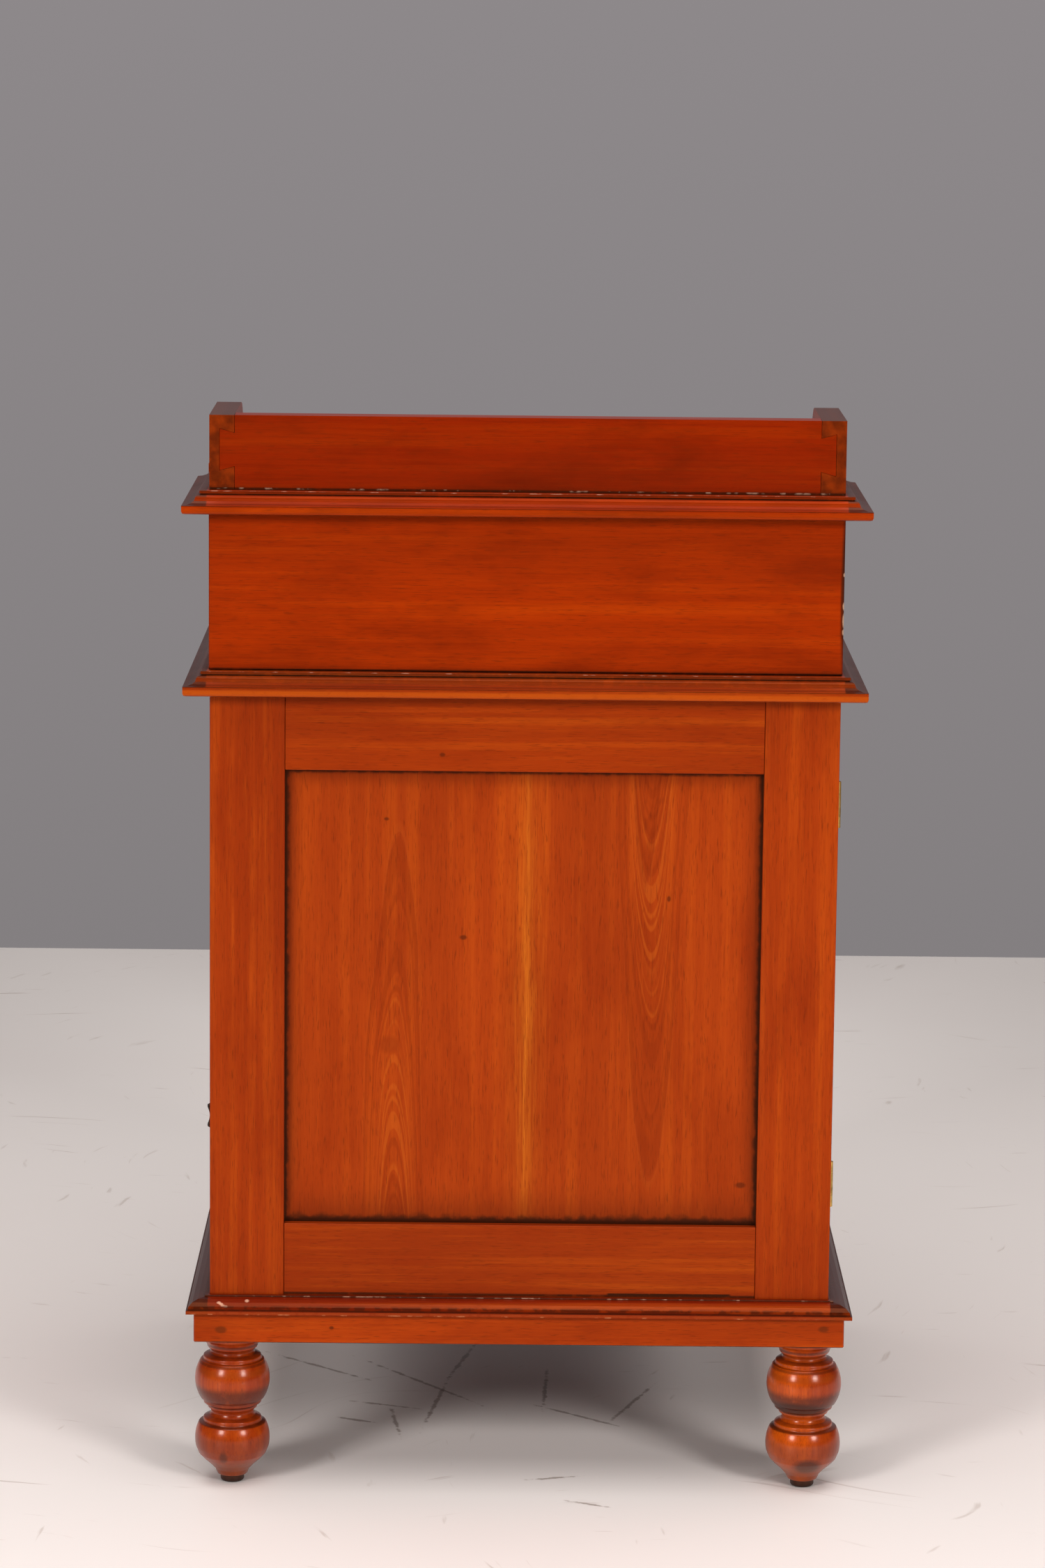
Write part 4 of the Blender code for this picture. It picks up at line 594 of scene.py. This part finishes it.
plinth_back_look = Board(
    **{**RAIL, "light": "#A53907", "dark": "#862904"},
    seed=27.3,
    spots=plinth_spots,
    lining=underside("plinth_rail_back"),
)
dress(wood("plinth_mahogany_back", plinth_back_look), "plinth_rail_back")
plinth_side = 249 * mm  # inner face of the plinth's side rails
plinth_frame_look = Board(
    **RAIL, seed=28.7, turn=("X", plinth_side, "Y"), lining=underside("plinth_frame")
)
dress(wood("plinth_mahogany_frame", plinth_frame_look), "plinth_frame")
moulding_lines = (
    Line(moulding_low + 3.6 * mm, 0.9 * mm, "#1E0905", 0.8),
    Line(moulding_low + 5.6 * mm, 2.2 * mm, "#2A0C06", 0.75, 0.5),
    Line(moulding_low + 1.5 * mm, 1.6 * mm, "#933A17", 0.6, 0.2),
    Line(moulding_high - 0.5 * mm, 1.0 * mm, "#1E0905", 0.8),
    Line(moulding_high - 0.3 * mm, 0.8 * mm, "#D8A98E", 0.75, 0.9),
    Line(moulding_low + 0.4 * mm, 0.8 * mm, "#C07A52", 0.5, 1.0),
)
# Drips of wax that were never rubbed off
wax_places = (
    (246.5, 160.2),
    (244.7, 159.4),
    (243.2, 158.3),
    (240.8, 157.8),
    (223.6, 161.3),
)
moulding_wax = tuple(
    Spot(x * mm, z * mm, 1.6 * mm, 0.7 * mm, "#D8A98E", 0.8) for x, z in wax_places
)
# Past the mitres, the moulding's upward faces get painted shade
moulding_look = Board(
    light="#872003",
    dark="#631202",
    grain="X",
    gloss=0.28,
    seed=30.2,
    turn=("X", plinth_mitre, "Y"),
    lines=moulding_lines,
    spots=moulding_wax,
    sides=plinth_mitre,
)
dress(wood("plinth_moulding_mahogany", moulding_look), "plinth_moulding")

# Inside of the case
dividers = [name for name in nodes if name.startswith("drawer_divider")]
dress(wood("case_mahogany", Board(**SIDE, seed=31.5)), "case_top", *dividers)
bottom_look = Board(**SIDE, seed=31.5, lining=underside("pedestal_bottom"))
dress(wood("bottom_mahogany", bottom_look), "pedestal_bottom")

# Turned feet: the same wood, fully polished on the lathe. The broad dark bands on the toe and on
# the lower halves of the balls are painted shade; the thin black lines are dirt in the rings'
# grooves
foot_shade_and_dirt_lines = (
    Line(32 * mm, 14 * mm, "#4A1C0A", 0.4),
    Line(13 * mm, 12 * mm, "#6A3A1A", 0.5),
    Line(76.5 * mm, 11 * mm, "#34130A", 0.75),
    Line(97.5 * mm, 3.5 * mm, "#8E3A0C", 0.5),
    Line(66.5 * mm, 2.2 * mm, "#1C0D08", 0.6),
    Line(51.5 * mm, 1.5 * mm, "#1C0D08", 0.5),
    Line(118 * mm, 1.8 * mm, "#1C0D08", 0.6),
    Line(103 * mm, 1.5 * mm, "#1C0D08", 0.45),
)
foot_stains = {
    "foot_back_left": (
        Spot(-0.232, 0.0715, 0.021, 0.005, "#1B1411", 0.9),
        Spot(-0.240, 0.0225, 0.009, 0.006, "#24120B", 0.85),
    ),
    "foot_back_right": (Spot(0.243, 0.0265, 0.003, 0.005, "#2E150B", 0.7),),
}
foot_finish = {}
feet = [name for name in nodes if name.startswith("foot_")]
for number, foot in enumerate(feet):
    foot_look = Board(
        light="#CC560A" if foot == "foot_back_left" else "#B9460A",
        dark="#842806",
        grain="Z",
        gloss=0.3,
        coat=0.5,
        mirror=0.3,
        seed=33.0 + number * 3.1,
        lining=("Z", 6 * mm, "#2A1610", "#190D09"),
        lines=foot_shade_and_dirt_lines,
        spots=foot_stains.get(foot, ()),
    )
    foot_finish[foot] = wood("turned_mahogany_" + foot, foot_look)
    dress(foot_finish[foot], foot)

# Drawers: mahogany fronts dovetailed to sides of plain pale wood
bare_from = drawer_front - 0.5 * mm
tails_to = drawer_front + 9 * mm
for number in range(1, 5):
    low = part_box(f"drawer_{number}")[0][2]
    drawer_look = Board(
        **SIDE,
        seed=46.0 + number * 2.7,
        lining=("X", bare_from, "#B98D5C", "#9C7040"),
        dovetails=(bare_from, tails_to, low + 12 * mm, 25 * mm),
    )
    dress(wood(f"drawer_mahogany_{number}", drawer_look), f"drawer_{number}")
# Plain pale wood, planed and left bare, so it has no shine
lining_look = {
    "light": "#B98D5C",
    "dark": "#9C7040",
    "bright": "#C9A271",
    "deep": "#8A6138",
    "gloss": 0.62,
    "coat": 0.0,
    "corner_dirt_and_shade": 0.5,
}
side_lining = wood("lining_wood", Board(**lining_look, grain="Y", seed=60.0))
dress(side_lining, "partition", "cupboard_shelf")
dress(wood("bottom_wood", Board(**lining_look, grain="X", seed=61.7)), "box_bottom")
# The nest is thin mahogany, rubbed with oil, so it is duller than the outside
nest_pieces = [name for name in nodes if name.startswith(("nest_", "inner_drawer_"))]
nest_look = Board(light="#A84A1A", dark="#82300C", grain="Y", seed=63.0, gloss=0.42)
dress(wood("nest_mahogany", nest_look), *nest_pieces)


# Metal


def worn_metal(name, bright, dull, metallic, rough):
    """Cast or rolled metal with a handled, uneven surface, and dirt with painted shade in its
    corners.
    """
    material, tree, shader = new_material(name)
    place = add(tree, "TexCoord", out="Object")
    cloud = add(tree, "TexNoise", {"Vector": place, "Scale": 160.0, "Detail": 4.0})
    factor = add(tree, "MapRange", {0: cloud, 1: 0.35, 2: 0.65})
    colour = add(tree, "Mix", {0: factor, 6: bright, 7: dull}, out=2, data_type="RGBA")
    # Dirt and painted shade: darker where ambient occlusion finds near surfaces
    occlusion = add(tree, "AmbientOcclusion", {"Distance": 3 * mm}, out=1, samples=6)
    dirt_and_shade = add(tree, "MapRange", {0: occlusion, 1: 0.2, 2: 0.8, 3: 0.85, 4: 0.0})
    colour = add(tree, "Mix", {0: dirt_and_shade, 6: colour, 7: "#1C130B"}, out=2, data_type="RGBA")
    sheen = add(tree, "MapRange", {0: cloud, 1: 0.3, 2: 0.7, 3: rough - 0.06, 4: rough + 0.1})
    bump = add(tree, "Bump", {"Strength": 0.15, "Distance": 0.1 * mm, "Height": cloud})
    tree.links.new(colour, shader["Base Color"])
    tree.links.new(sheen, shader["Roughness"])
    tree.links.new(bump, shader["Normal"])
    shader["Metallic"].default_value = metallic
    return material


# Rolled brass, dulled to a soft yellow brown
hinge_brass = worn_metal("rolled_brass", "#C7A25A", "#94713A", 1.0, 0.34)
dress(hinge_brass, *(name for name in nodes if "hinge" in name), "lock_bolt")
# Turned brass knobs, brighter where fingers rub
knob_brass = worn_metal("turned_brass", "#D2AA5C", "#A07A3C", 1.0, 0.26)
dress(knob_brass, *(name for name in nodes if "knob" in name))
# Forged iron under a brown patina
dress(worn_metal("forged_iron", "#3A322C", "#1D1815", 0.85, 0.42), "key", "drawer_lock")


# Turned work, drawn with enough sides to look round: it stands for the plainer solids

FOOT_SIDES, KNOB_SIDES = 64, 48


def soften(profile, reach):
    """The outline of a turning with its corners rounded over a short reach."""
    points = [Vector(point) for point in profile]
    rounded = [points[0]]
    for before, corner, after in zip(points, points[1:], points[2:]):
        start = corner + (before - corner) * min(0.4, reach / (before - corner).length)
        end = corner + (after - corner) * min(0.4, reach / (after - corner).length)
        rounded += [start, (start + end + corner * 2) / 4, end]
    return rounded + [points[-1]]


def place_piece(name, shape, material, body, replaced=()):
    """Makes an object of a shape drawn in the desk's frame, and lets it ride on its body."""
    bmesh.ops.recalc_face_normals(shape, faces=shape.faces)
    mesh = bpy.data.meshes.new(name)
    shape.to_mesh(mesh)
    shape.free()
    mesh.shade_smooth()
    mesh.set_sharp_from_angle(angle=math.radians(50))
    mesh.materials.append(material)
    piece = bpy.data.objects.new(name, mesh)
    bpy.context.scene.collection.objects.link(piece)
    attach(piece, body)
    if replaced:
        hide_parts(*replaced)


def turn(profile, sides, place):
    """A turned shape: (radius, height) points spun about Z, then moved to their place."""
    shape = bmesh.new()
    points = [shape.verts.new((radius, 0, height)) for radius, height in profile]
    lines = [shape.edges.new(pair) for pair in zip(points, points[1:])]
    spin = {"cent": (0, 0, 0), "axis": (0, 0, 1), "angle": math.tau, "steps": sides}
    bmesh.ops.spin(shape, geom=points + lines, use_merge=True, **spin)
    bmesh.ops.remove_doubles(shape, verts=shape.verts, dist=0.001 * mm)
    bmesh.ops.transform(shape, matrix=place, verts=shape.verts)
    return shape


def foot_outline():
    """(radius, height) points of a foot: pad, onion toe, two balls and the rings between them."""
    radius, pad, tall = 31 * mm, 6 * mm, 120 * mm
    # Pad and toe, in shares of the radius and of the height
    outline = [(0, 0), (0.28, 0), (0.316, 0.012), (0.316, 0.0495), (0.37, 0.05)]
    for rise in (0.02, 0.2, 0.4, 0.6, 0.8):
        flare = rise * rise * (3 - 2 * rise)
        outline.append((0.4 + 0.558 * flare, 0.05 + 0.19 * rise))
    points = [(r * radius, h * tall) for r, h in outline]
    # Rings over the lower ball and over the upper one, the same way but counted from the pad
    rings = (
        (0.774, 0.383),
        (0.774, 0.408),
        (0.61, 0.426),
        (0.565, 0.45),
        (0.60, 0.471),
        (0.665, 0.482),
        (0.665, 0.5),
        (0.774, 0.514),
        (0.774, 0.537),
    )
    top_rings = (
        (0.774, 0.827),
        (0.774, 0.85),
        (0.60, 0.867),
        (0.565, 0.883),
        (0.60, 0.9),
        (0.665, 0.91),
        (0.69, 0.932),
        (0.75, 0.958),
        (0.86, 0.98),
        (0.871, 1.0),
    )
    # Each ball runs from its foot to its head round its middle, and its rings follow
    steps = 12
    for (low, middle, high), above in (
        ((0.2, 0.258, 0.375), rings),
        ((0.546, 0.683, 0.821), top_rings),
    ):
        for step in range(steps + 1):
            level = low + (high - low) * step / steps
            reach = (level - middle) * tall / radius
            points.append((radius * math.sqrt(1 - reach * reach), pad + level * tall))
        points += [(r * radius, pad + h * tall) for r, h in above]
    return points + [(0, pad + tall)]


for foot in feet:
    low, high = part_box(foot)
    middle = Matrix.Translation(((low[0] + high[0]) / 2, (low[1] + high[1]) / 2, 0))
    shape = turn(soften(foot_outline(), 0.7 * mm), FOOT_SIDES, middle)
    place_piece("turned_" + foot, shape, foot_finish[foot], "pedestal", [foot])

# Shares of a knob's radius, and of how far it stands out
KNOB_OUTLINE = (
    (0.0, 0.0),
    (0.72, 0.0),
    (0.72, 0.10),
    (0.46, 0.20),
    (0.44, 0.27),
    (0.48, 0.35),
    (0.86, 0.52),
    (0.97, 0.61),
    (1.0, 0.70),
    (0.97, 0.80),
    (0.86, 0.89),
    (0.62, 0.96),
    (0.32, 0.99),
    (0.0, 1.0),
)
KNOB_BODIES = {
    "drawer_1_knob": "top_drawer",
    "drawer_2_knob": "second_drawer",
    "drawer_3_knob": "third_drawer",
    "drawer_4_knob": "lowest_drawer",
    "door_knob": "cupboard_door",
}
for knob, body in KNOB_BODIES.items():
    low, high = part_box(knob)
    radius = (high[2] - low[2]) / 2
    outward = 1 if low[0] > 0 else -1
    seat = low[0] if outward > 0 else high[0]
    way = Matrix.Rotation(math.radians(90 * outward), 4, "Y")
    place = Matrix.Translation((seat, (low[1] + high[1]) / 2, (low[2] + high[2]) / 2)) @ way
    outline = [(r * radius, h * (high[0] - low[0])) for r, h in KNOB_OUTLINE]
    shape = turn(soften(outline, 0.3 * mm), KNOB_SIDES, place)
    place_piece("turned_" + knob, shape, knob_brass, body, [knob])


# Small brass trim

SCREW_RADIUS = 2.6 * mm
SCREW_STANDS = 0.12 * mm  # how far a head stands out of its leaf
SCREW_INSET = 6.5 * mm  # from the leaf's edge
SLOT_HALF = 13  # half the driver's slot at the head's rim, in degrees
HALF_STEPS = 12  # sides of half a head
LEAF_FACE = 0.2 * mm  # from a closed hinge's middle to the inner face of a leaf


def screw_heads(name, centres, out, body):
    """Countersunk brass screws: two half heads with the driver's slot between them."""
    shape = bmesh.new()
    for number, (x, y, z) in enumerate(centres):
        tilt = math.radians(25 + number * 65)  # no two slots stop at the same turn
        for side in (0, math.pi):
            rim = []
            for step in range(HALF_STEPS + 1):
                turned = SLOT_HALF + step * (180 - 2 * SLOT_HALF) / HALF_STEPS
                angle = math.radians(turned) + side
                rim.append((SCREW_RADIUS * math.cos(angle), SCREW_RADIUS * math.sin(angle)))
            corners = [
                (a * math.cos(tilt) - b * math.sin(tilt), a * math.sin(tilt) + b * math.cos(tilt))
                for a, b in rim
            ]
            face = shape.faces.new([shape.verts.new((x + a, y, z + b)) for a, b in corners])
            raised = bmesh.ops.extrude_face_region(shape, geom=[face])["geom"]
            top = [item for item in raised if isinstance(item, bmesh.types.BMVert)]
            bmesh.ops.translate(shape, verts=top, vec=(0, out * SCREW_STANDS, 0))
    place_piece(name, shape, hinge_brass, body)


for hinge, fixed, moving, body, moving_body in (
    ("door_hinge_upper", "case_leaf", "door_leaf", "pedestal", "cupboard_door"),
    ("door_hinge_lower", "case_leaf", "door_leaf", "pedestal", "cupboard_door"),
    ("lid_hinge_left", "top_leaf", "lid_leaf", "writing_box", "lid"),
    ("lid_hinge_right", "top_leaf", "lid_leaf", "writing_box", "lid"),
):
    low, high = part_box(f"{hinge}_{fixed}")
    axis = (low[1] + high[1]) / 2
    centre = [(low[i] + high[i]) / 2 for i in range(3)]
    spots = []
    for share in (-0.34, 0, 0.34):
        if hinge.startswith("door"):
            spots.append((high[0] - SCREW_INSET, centre[2] + share * (high[2] - low[2])))
        else:
            spots.append((centre[0] + share * (high[0] - low[0]), low[2] + SCREW_INSET))
    for leaf, out, rider in ((fixed, -1, body), (moving, 1, moving_body)):
        face = axis - out * LEAF_FACE
        centres = [(x, face, z) for x, z in spots]
        screw_heads(f"{hinge}_{leaf}_screws", centres, out, rider)


def keyhole_plate():
    """A thin brass oval let on round the lowest drawer's keyhole, with the keyhole cut in it."""
    low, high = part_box("key")
    drawer_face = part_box("drawer_4")[1][0]
    centre = (low[2] + high[2]) / 2
    # The keyhole, in mm from the key's axis: a round eye over a slot
    eye, slot_half, slot_foot, slot_head, steps = 2.6, 1.7, -7.1, -2.0, 12
    inner = [(-slot_half, slot_foot), (slot_half, slot_foot), (slot_half, slot_head)]
    for step in range(steps + 1):
        angle = math.radians(-50 + step * 280 / steps)
        inner.append((eye * math.cos(angle), eye * math.sin(angle)))
    inner.append((-slot_half, slot_head))
    # The plate's oval round it
    half_wide, half_tall, middle, thick, bevel = 6.5, 10.5, -1.6, 0.7, 0.5
    shape = bmesh.new()
    rings = []
    for inset, out, has_hole in ((0, 0, True), (0, bevel, False), (bevel, thick, True)):
        outer = []
        for y, z in inner:
            angle = math.atan2(z - middle, y)
            across = (half_wide - inset) * math.cos(angle)
            outer.append((across, (half_tall - inset) * math.sin(angle) + middle))
        x = drawer_face + out * mm
        rings.append([shape.verts.new((x, a * mm, centre + b * mm)) for a, b in outer])
        if has_hole:
            rings.append([shape.verts.new((x, a * mm, centre + b * mm)) for a, b in inner])
    back_outer, back_hole, edge, front_outer, front_hole = rings
    for first, second in (
        (back_outer, edge),
        (edge, front_outer),
        (front_outer, front_hole),
        (front_hole, back_hole),
        (back_hole, back_outer),
    ):
        for step in range(len(inner)):
            after = (step + 1) % len(inner)
            shape.faces.new((first[step], first[after], second[after], second[step]))
    place_piece("keyhole_plate", shape, hinge_brass, "lowest_drawer")


keyhole_plate()


# Leather


def writing_leather(name):
    """Writing leather: fine pebbled grain, rubbed lighter, with tooled lines round it."""
    material, tree, shader = new_material(name)
    place = add(tree, "TexCoord", out="Object")
    low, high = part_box("lid_leather")
    pebble = add(
        tree, "TexVoronoi", {"Vector": place, "Scale": 1100.0}, feature="DISTANCE_TO_EDGE"
    )
    rub = add(tree, "TexNoise", {"Vector": place, "Scale": 14.0, "Detail": 4.0})
    factor = add(tree, "MapRange", {0: rub, 1: 0.3, 2: 0.7})
    colour = add(tree, "Mix", {0: factor, 6: "#27452F", 7: "#3A5A3C"}, out=2, data_type="RGBA")
    axes = add(tree, "SeparateXYZ", {0: place}).node.outputs
    across = add(tree, "Math", {0: axes[0]}, operation="ABSOLUTE")
    gap_x = add(tree, "Math", {0: high[0], 1: across}, operation="SUBTRACT")
    deep = add(tree, "Math", {0: axes[1], 1: (low[1] + high[1]) / 2}, operation="SUBTRACT")
    deep = add(tree, "Math", {0: deep}, operation="ABSOLUTE")
    gap_y = add(tree, "Math", {0: (high[1] - low[1]) / 2, 1: deep}, operation="SUBTRACT")
    gap = add(tree, "Math", {0: gap_x, 1: gap_y}, operation="MINIMUM")
    for inset, half in ((9 * mm, 0.9 * mm), (13 * mm, 0.4 * mm)):
        off = add(tree, "Math", {0: gap, 1: inset}, operation="SUBTRACT")
        off = add(tree, "Math", {0: off}, operation="ABSOLUTE")
        line = add(tree, "MapRange", {0: off, 1: half, 2: half * 0.7, 3: 0.0, 4: 0.8})
        colour = add(tree, "Mix", {0: line, 6: colour, 7: "#C79B4B"}, out=2, data_type="RGBA")
    bump = add(tree, "Bump", {"Strength": 0.3, "Distance": 0.2 * mm, "Height": pebble})
    tree.links.new(colour, shader["Base Color"])
    tree.links.new(bump, shader["Normal"])
    shader["Roughness"].default_value = 0.48
    return material


dress(writing_leather("tooled_leather"), "lid_leather")


# Floor, background, light and camera

# Scuffs under the desk: middle x and y in mm, turn in degrees, length in mm
SCUFFS = (
    (175, -100, -42, 110),
    (80, -50, -52, 160),
    (50, -120, 78, 110),
    (70, 0, 82, 140),
    (115, 15, -20, 65),
    (140, 60, -25, 45),
    (105, 65, -83, 80),
    (-25, -35, 88, 110),
    (-50, 40, -40, 105),
    (-100, 5, 70, 110),
    (-30, 220, 15, 55),
    (-60, 290, -25, 40),
)


def floor_colour(tree):
    """Pale paint, faintly clouded, with the scuffs that chair legs and desks left."""
    place = add(tree, "TexCoord", out="Object")
    cloud = add(tree, "TexNoise", {"Vector": place, "Scale": 2.0, "Detail": 3.0})
    colour = add(tree, "Mix", {0: cloud, 6: "#FDFAF8", 7: "#F7F2F0"}, out=2, data_type="RGBA")
    # Faint ones everywhere: short thin strokes lying every way
    swirl = add(tree, "TexNoise", {"Vector": place, "Scale": 1.3, "Detail": 2.0}, out=1)
    bent = {0: swirl, 1: (0.9, 0.9, 0), 2: place}
    bent = add(tree, "VectorMath", bent, operation="MULTIPLY_ADD")
    for stretch, code, strength in (((8, 90, 1), "#A08A7C", 0.4), ((80, 9, 1), "#AC9A8C", 0.35)):
        drawn = add(tree, "VectorMath", {0: bent, 1: stretch}, operation="MULTIPLY")
        stroke = add(tree, "TexNoise", {"Vector": drawn, "Scale": 1.0, "Detail": 3.0})
        scuff = add(tree, "MapRange", {0: stroke, 1: 0.68, 2: 0.75, 3: 0.0, 4: strength})
        colour = add(tree, "Mix", {0: scuff, 6: colour, 7: code}, out=2, data_type="RGBA")
    # Broken brown ones under the desk
    fine = add(tree, "TexNoise", {"Vector": place, "Scale": 90.0, "Detail": 4.0, "Roughness": 0.7})
    for x, y, degrees, length in SCUFFS:
        inputs = {
            "Vector": place,
            "Location": (x * mm, y * mm, 0),
            "Rotation": (0, 0, math.radians(degrees)),
            "Scale": (length / 2 * mm, 2.2 * mm, 1),
        }
        across = add(tree, "Mapping", inputs, vector_type="TEXTURE")
        size = add(tree, "VectorMath", {0: across}, out=1, operation="LENGTH")
        size = add(tree, "Math", {0: fine, 1: 3.0, 2: size}, operation="MULTIPLY_ADD")
        scuff = add(tree, "MapRange", {0: size, 1: 2.0, 2: 2.6, 3: 0.6, 4: 0.0})
        colour = add(tree, "Mix", {0: scuff, 6: colour, 7: "#6E4E38"}, out=2, data_type="RGBA")
    return colour


def build_floor():
    """A pale studio floor that ends where the grey wall begins."""
    shape = bmesh.new()
    wall, side, front = -1.943, 7, 8  # the wall is where the photograph shows it
    corners = [(-side, wall), (side, wall), (side, front), (-side, front)]
    shape.faces.new([shape.verts.new((x, y, -0.2 * mm)) for x, y in corners])
    mesh = bpy.data.meshes.new("studio_floor")
    shape.to_mesh(mesh)
    shape.free()
    floor = bpy.data.objects.new("studio_floor", mesh)
    bpy.context.scene.collection.objects.link(floor)
    material, tree, shader = new_material("painted_floor")
    tree.links.new(floor_colour(tree), shader["Base Color"])
    shader["Roughness"].default_value = 0.5
    mesh.materials.append(material)


def build_world():
    """Grey studio wall behind the desk, and a dark room behind the camera."""
    world = bpy.data.worlds.new("studio")
    world.use_nodes = True
    bpy.context.scene.world = world
    tree = world.node_tree
    tree.nodes.clear()
    way = add(tree, "SeparateXYZ", {0: add(tree, "TexCoord", out="Generated")}).node.outputs
    rise = add(tree, "MapRange", {0: way[2], 1: -0.28, 2: 0.0})
    wall = add(tree, "Mix", {0: rise, 6: "#7F7B7C", 7: "#8E898B"}, out=2, data_type="RGBA")
    behind = add(tree, "MapRange", {0: way[1], 1: -0.9, 2: -0.5})
    room = add(tree, "Mix", {0: behind, 6: wall, 7: "#2B2928"}, out=2, data_type="RGBA")
    background = add(tree, "Background", {"Color": room, "Strength": 1.0})
    add(tree, "OutputWorld", {"Surface": background})


def add_softbox(name, place, aim, size, power):
    """A soft lamp of a size in metres and a power in watts, turned towards its aim."""
    lamp = bpy.data.lights.new(name, "AREA")
    lamp.shape = "RECTANGLE"
    lamp.size, lamp.size_y = size
    lamp.energy = power
    lamp.color = linear("#FFF8F4")[:3]
    softbox = bpy.data.objects.new(name, lamp)
    softbox.location = place
    softbox.rotation_euler = (Vector(aim) - Vector(place)).to_track_quat("-Z", "Y").to_euler()
    bpy.context.scene.collection.objects.link(softbox)


def build_camera():
    """4 m from the desk's back, 1.28 m up, looking down 9.8 degrees through a long lens."""
    place, look_down, aside, lean = (0.017, 4.249, 1.280), 9.756, 0.22, 0.6
    data = bpy.data.cameras.new("portrait_camera")
    data.lens = 115.2
    data.sensor_width = 36
    camera = bpy.data.objects.new("portrait_camera", data)
    stance = Matrix.Identity(4)
    for degrees, axis in ((180 - aside, "Z"), (90 - look_down, "X"), (lean, "Z")):
        stance = stance @ Matrix.Rotation(math.radians(degrees), 4, axis)
    camera.matrix_world = Matrix.Translation(place) @ stance
    bpy.context.scene.collection.objects.link(camera)
    bpy.context.scene.camera = camera


build_floor()
build_world()
for name, side in (("softbox_left", 1), ("softbox_right", -1)):
    add_softbox(name, (3.05 * side, 4.2, 2.35), (0, 0.2, 0.45), (1.15, 1.15), 132)
add_softbox("ceiling", (0, 0.85, 3.3), (0, 0.85, 0), (3.4, 3.8), 110)
build_camera()

bpy.context.scene.view_settings.view_transform = "Standard"
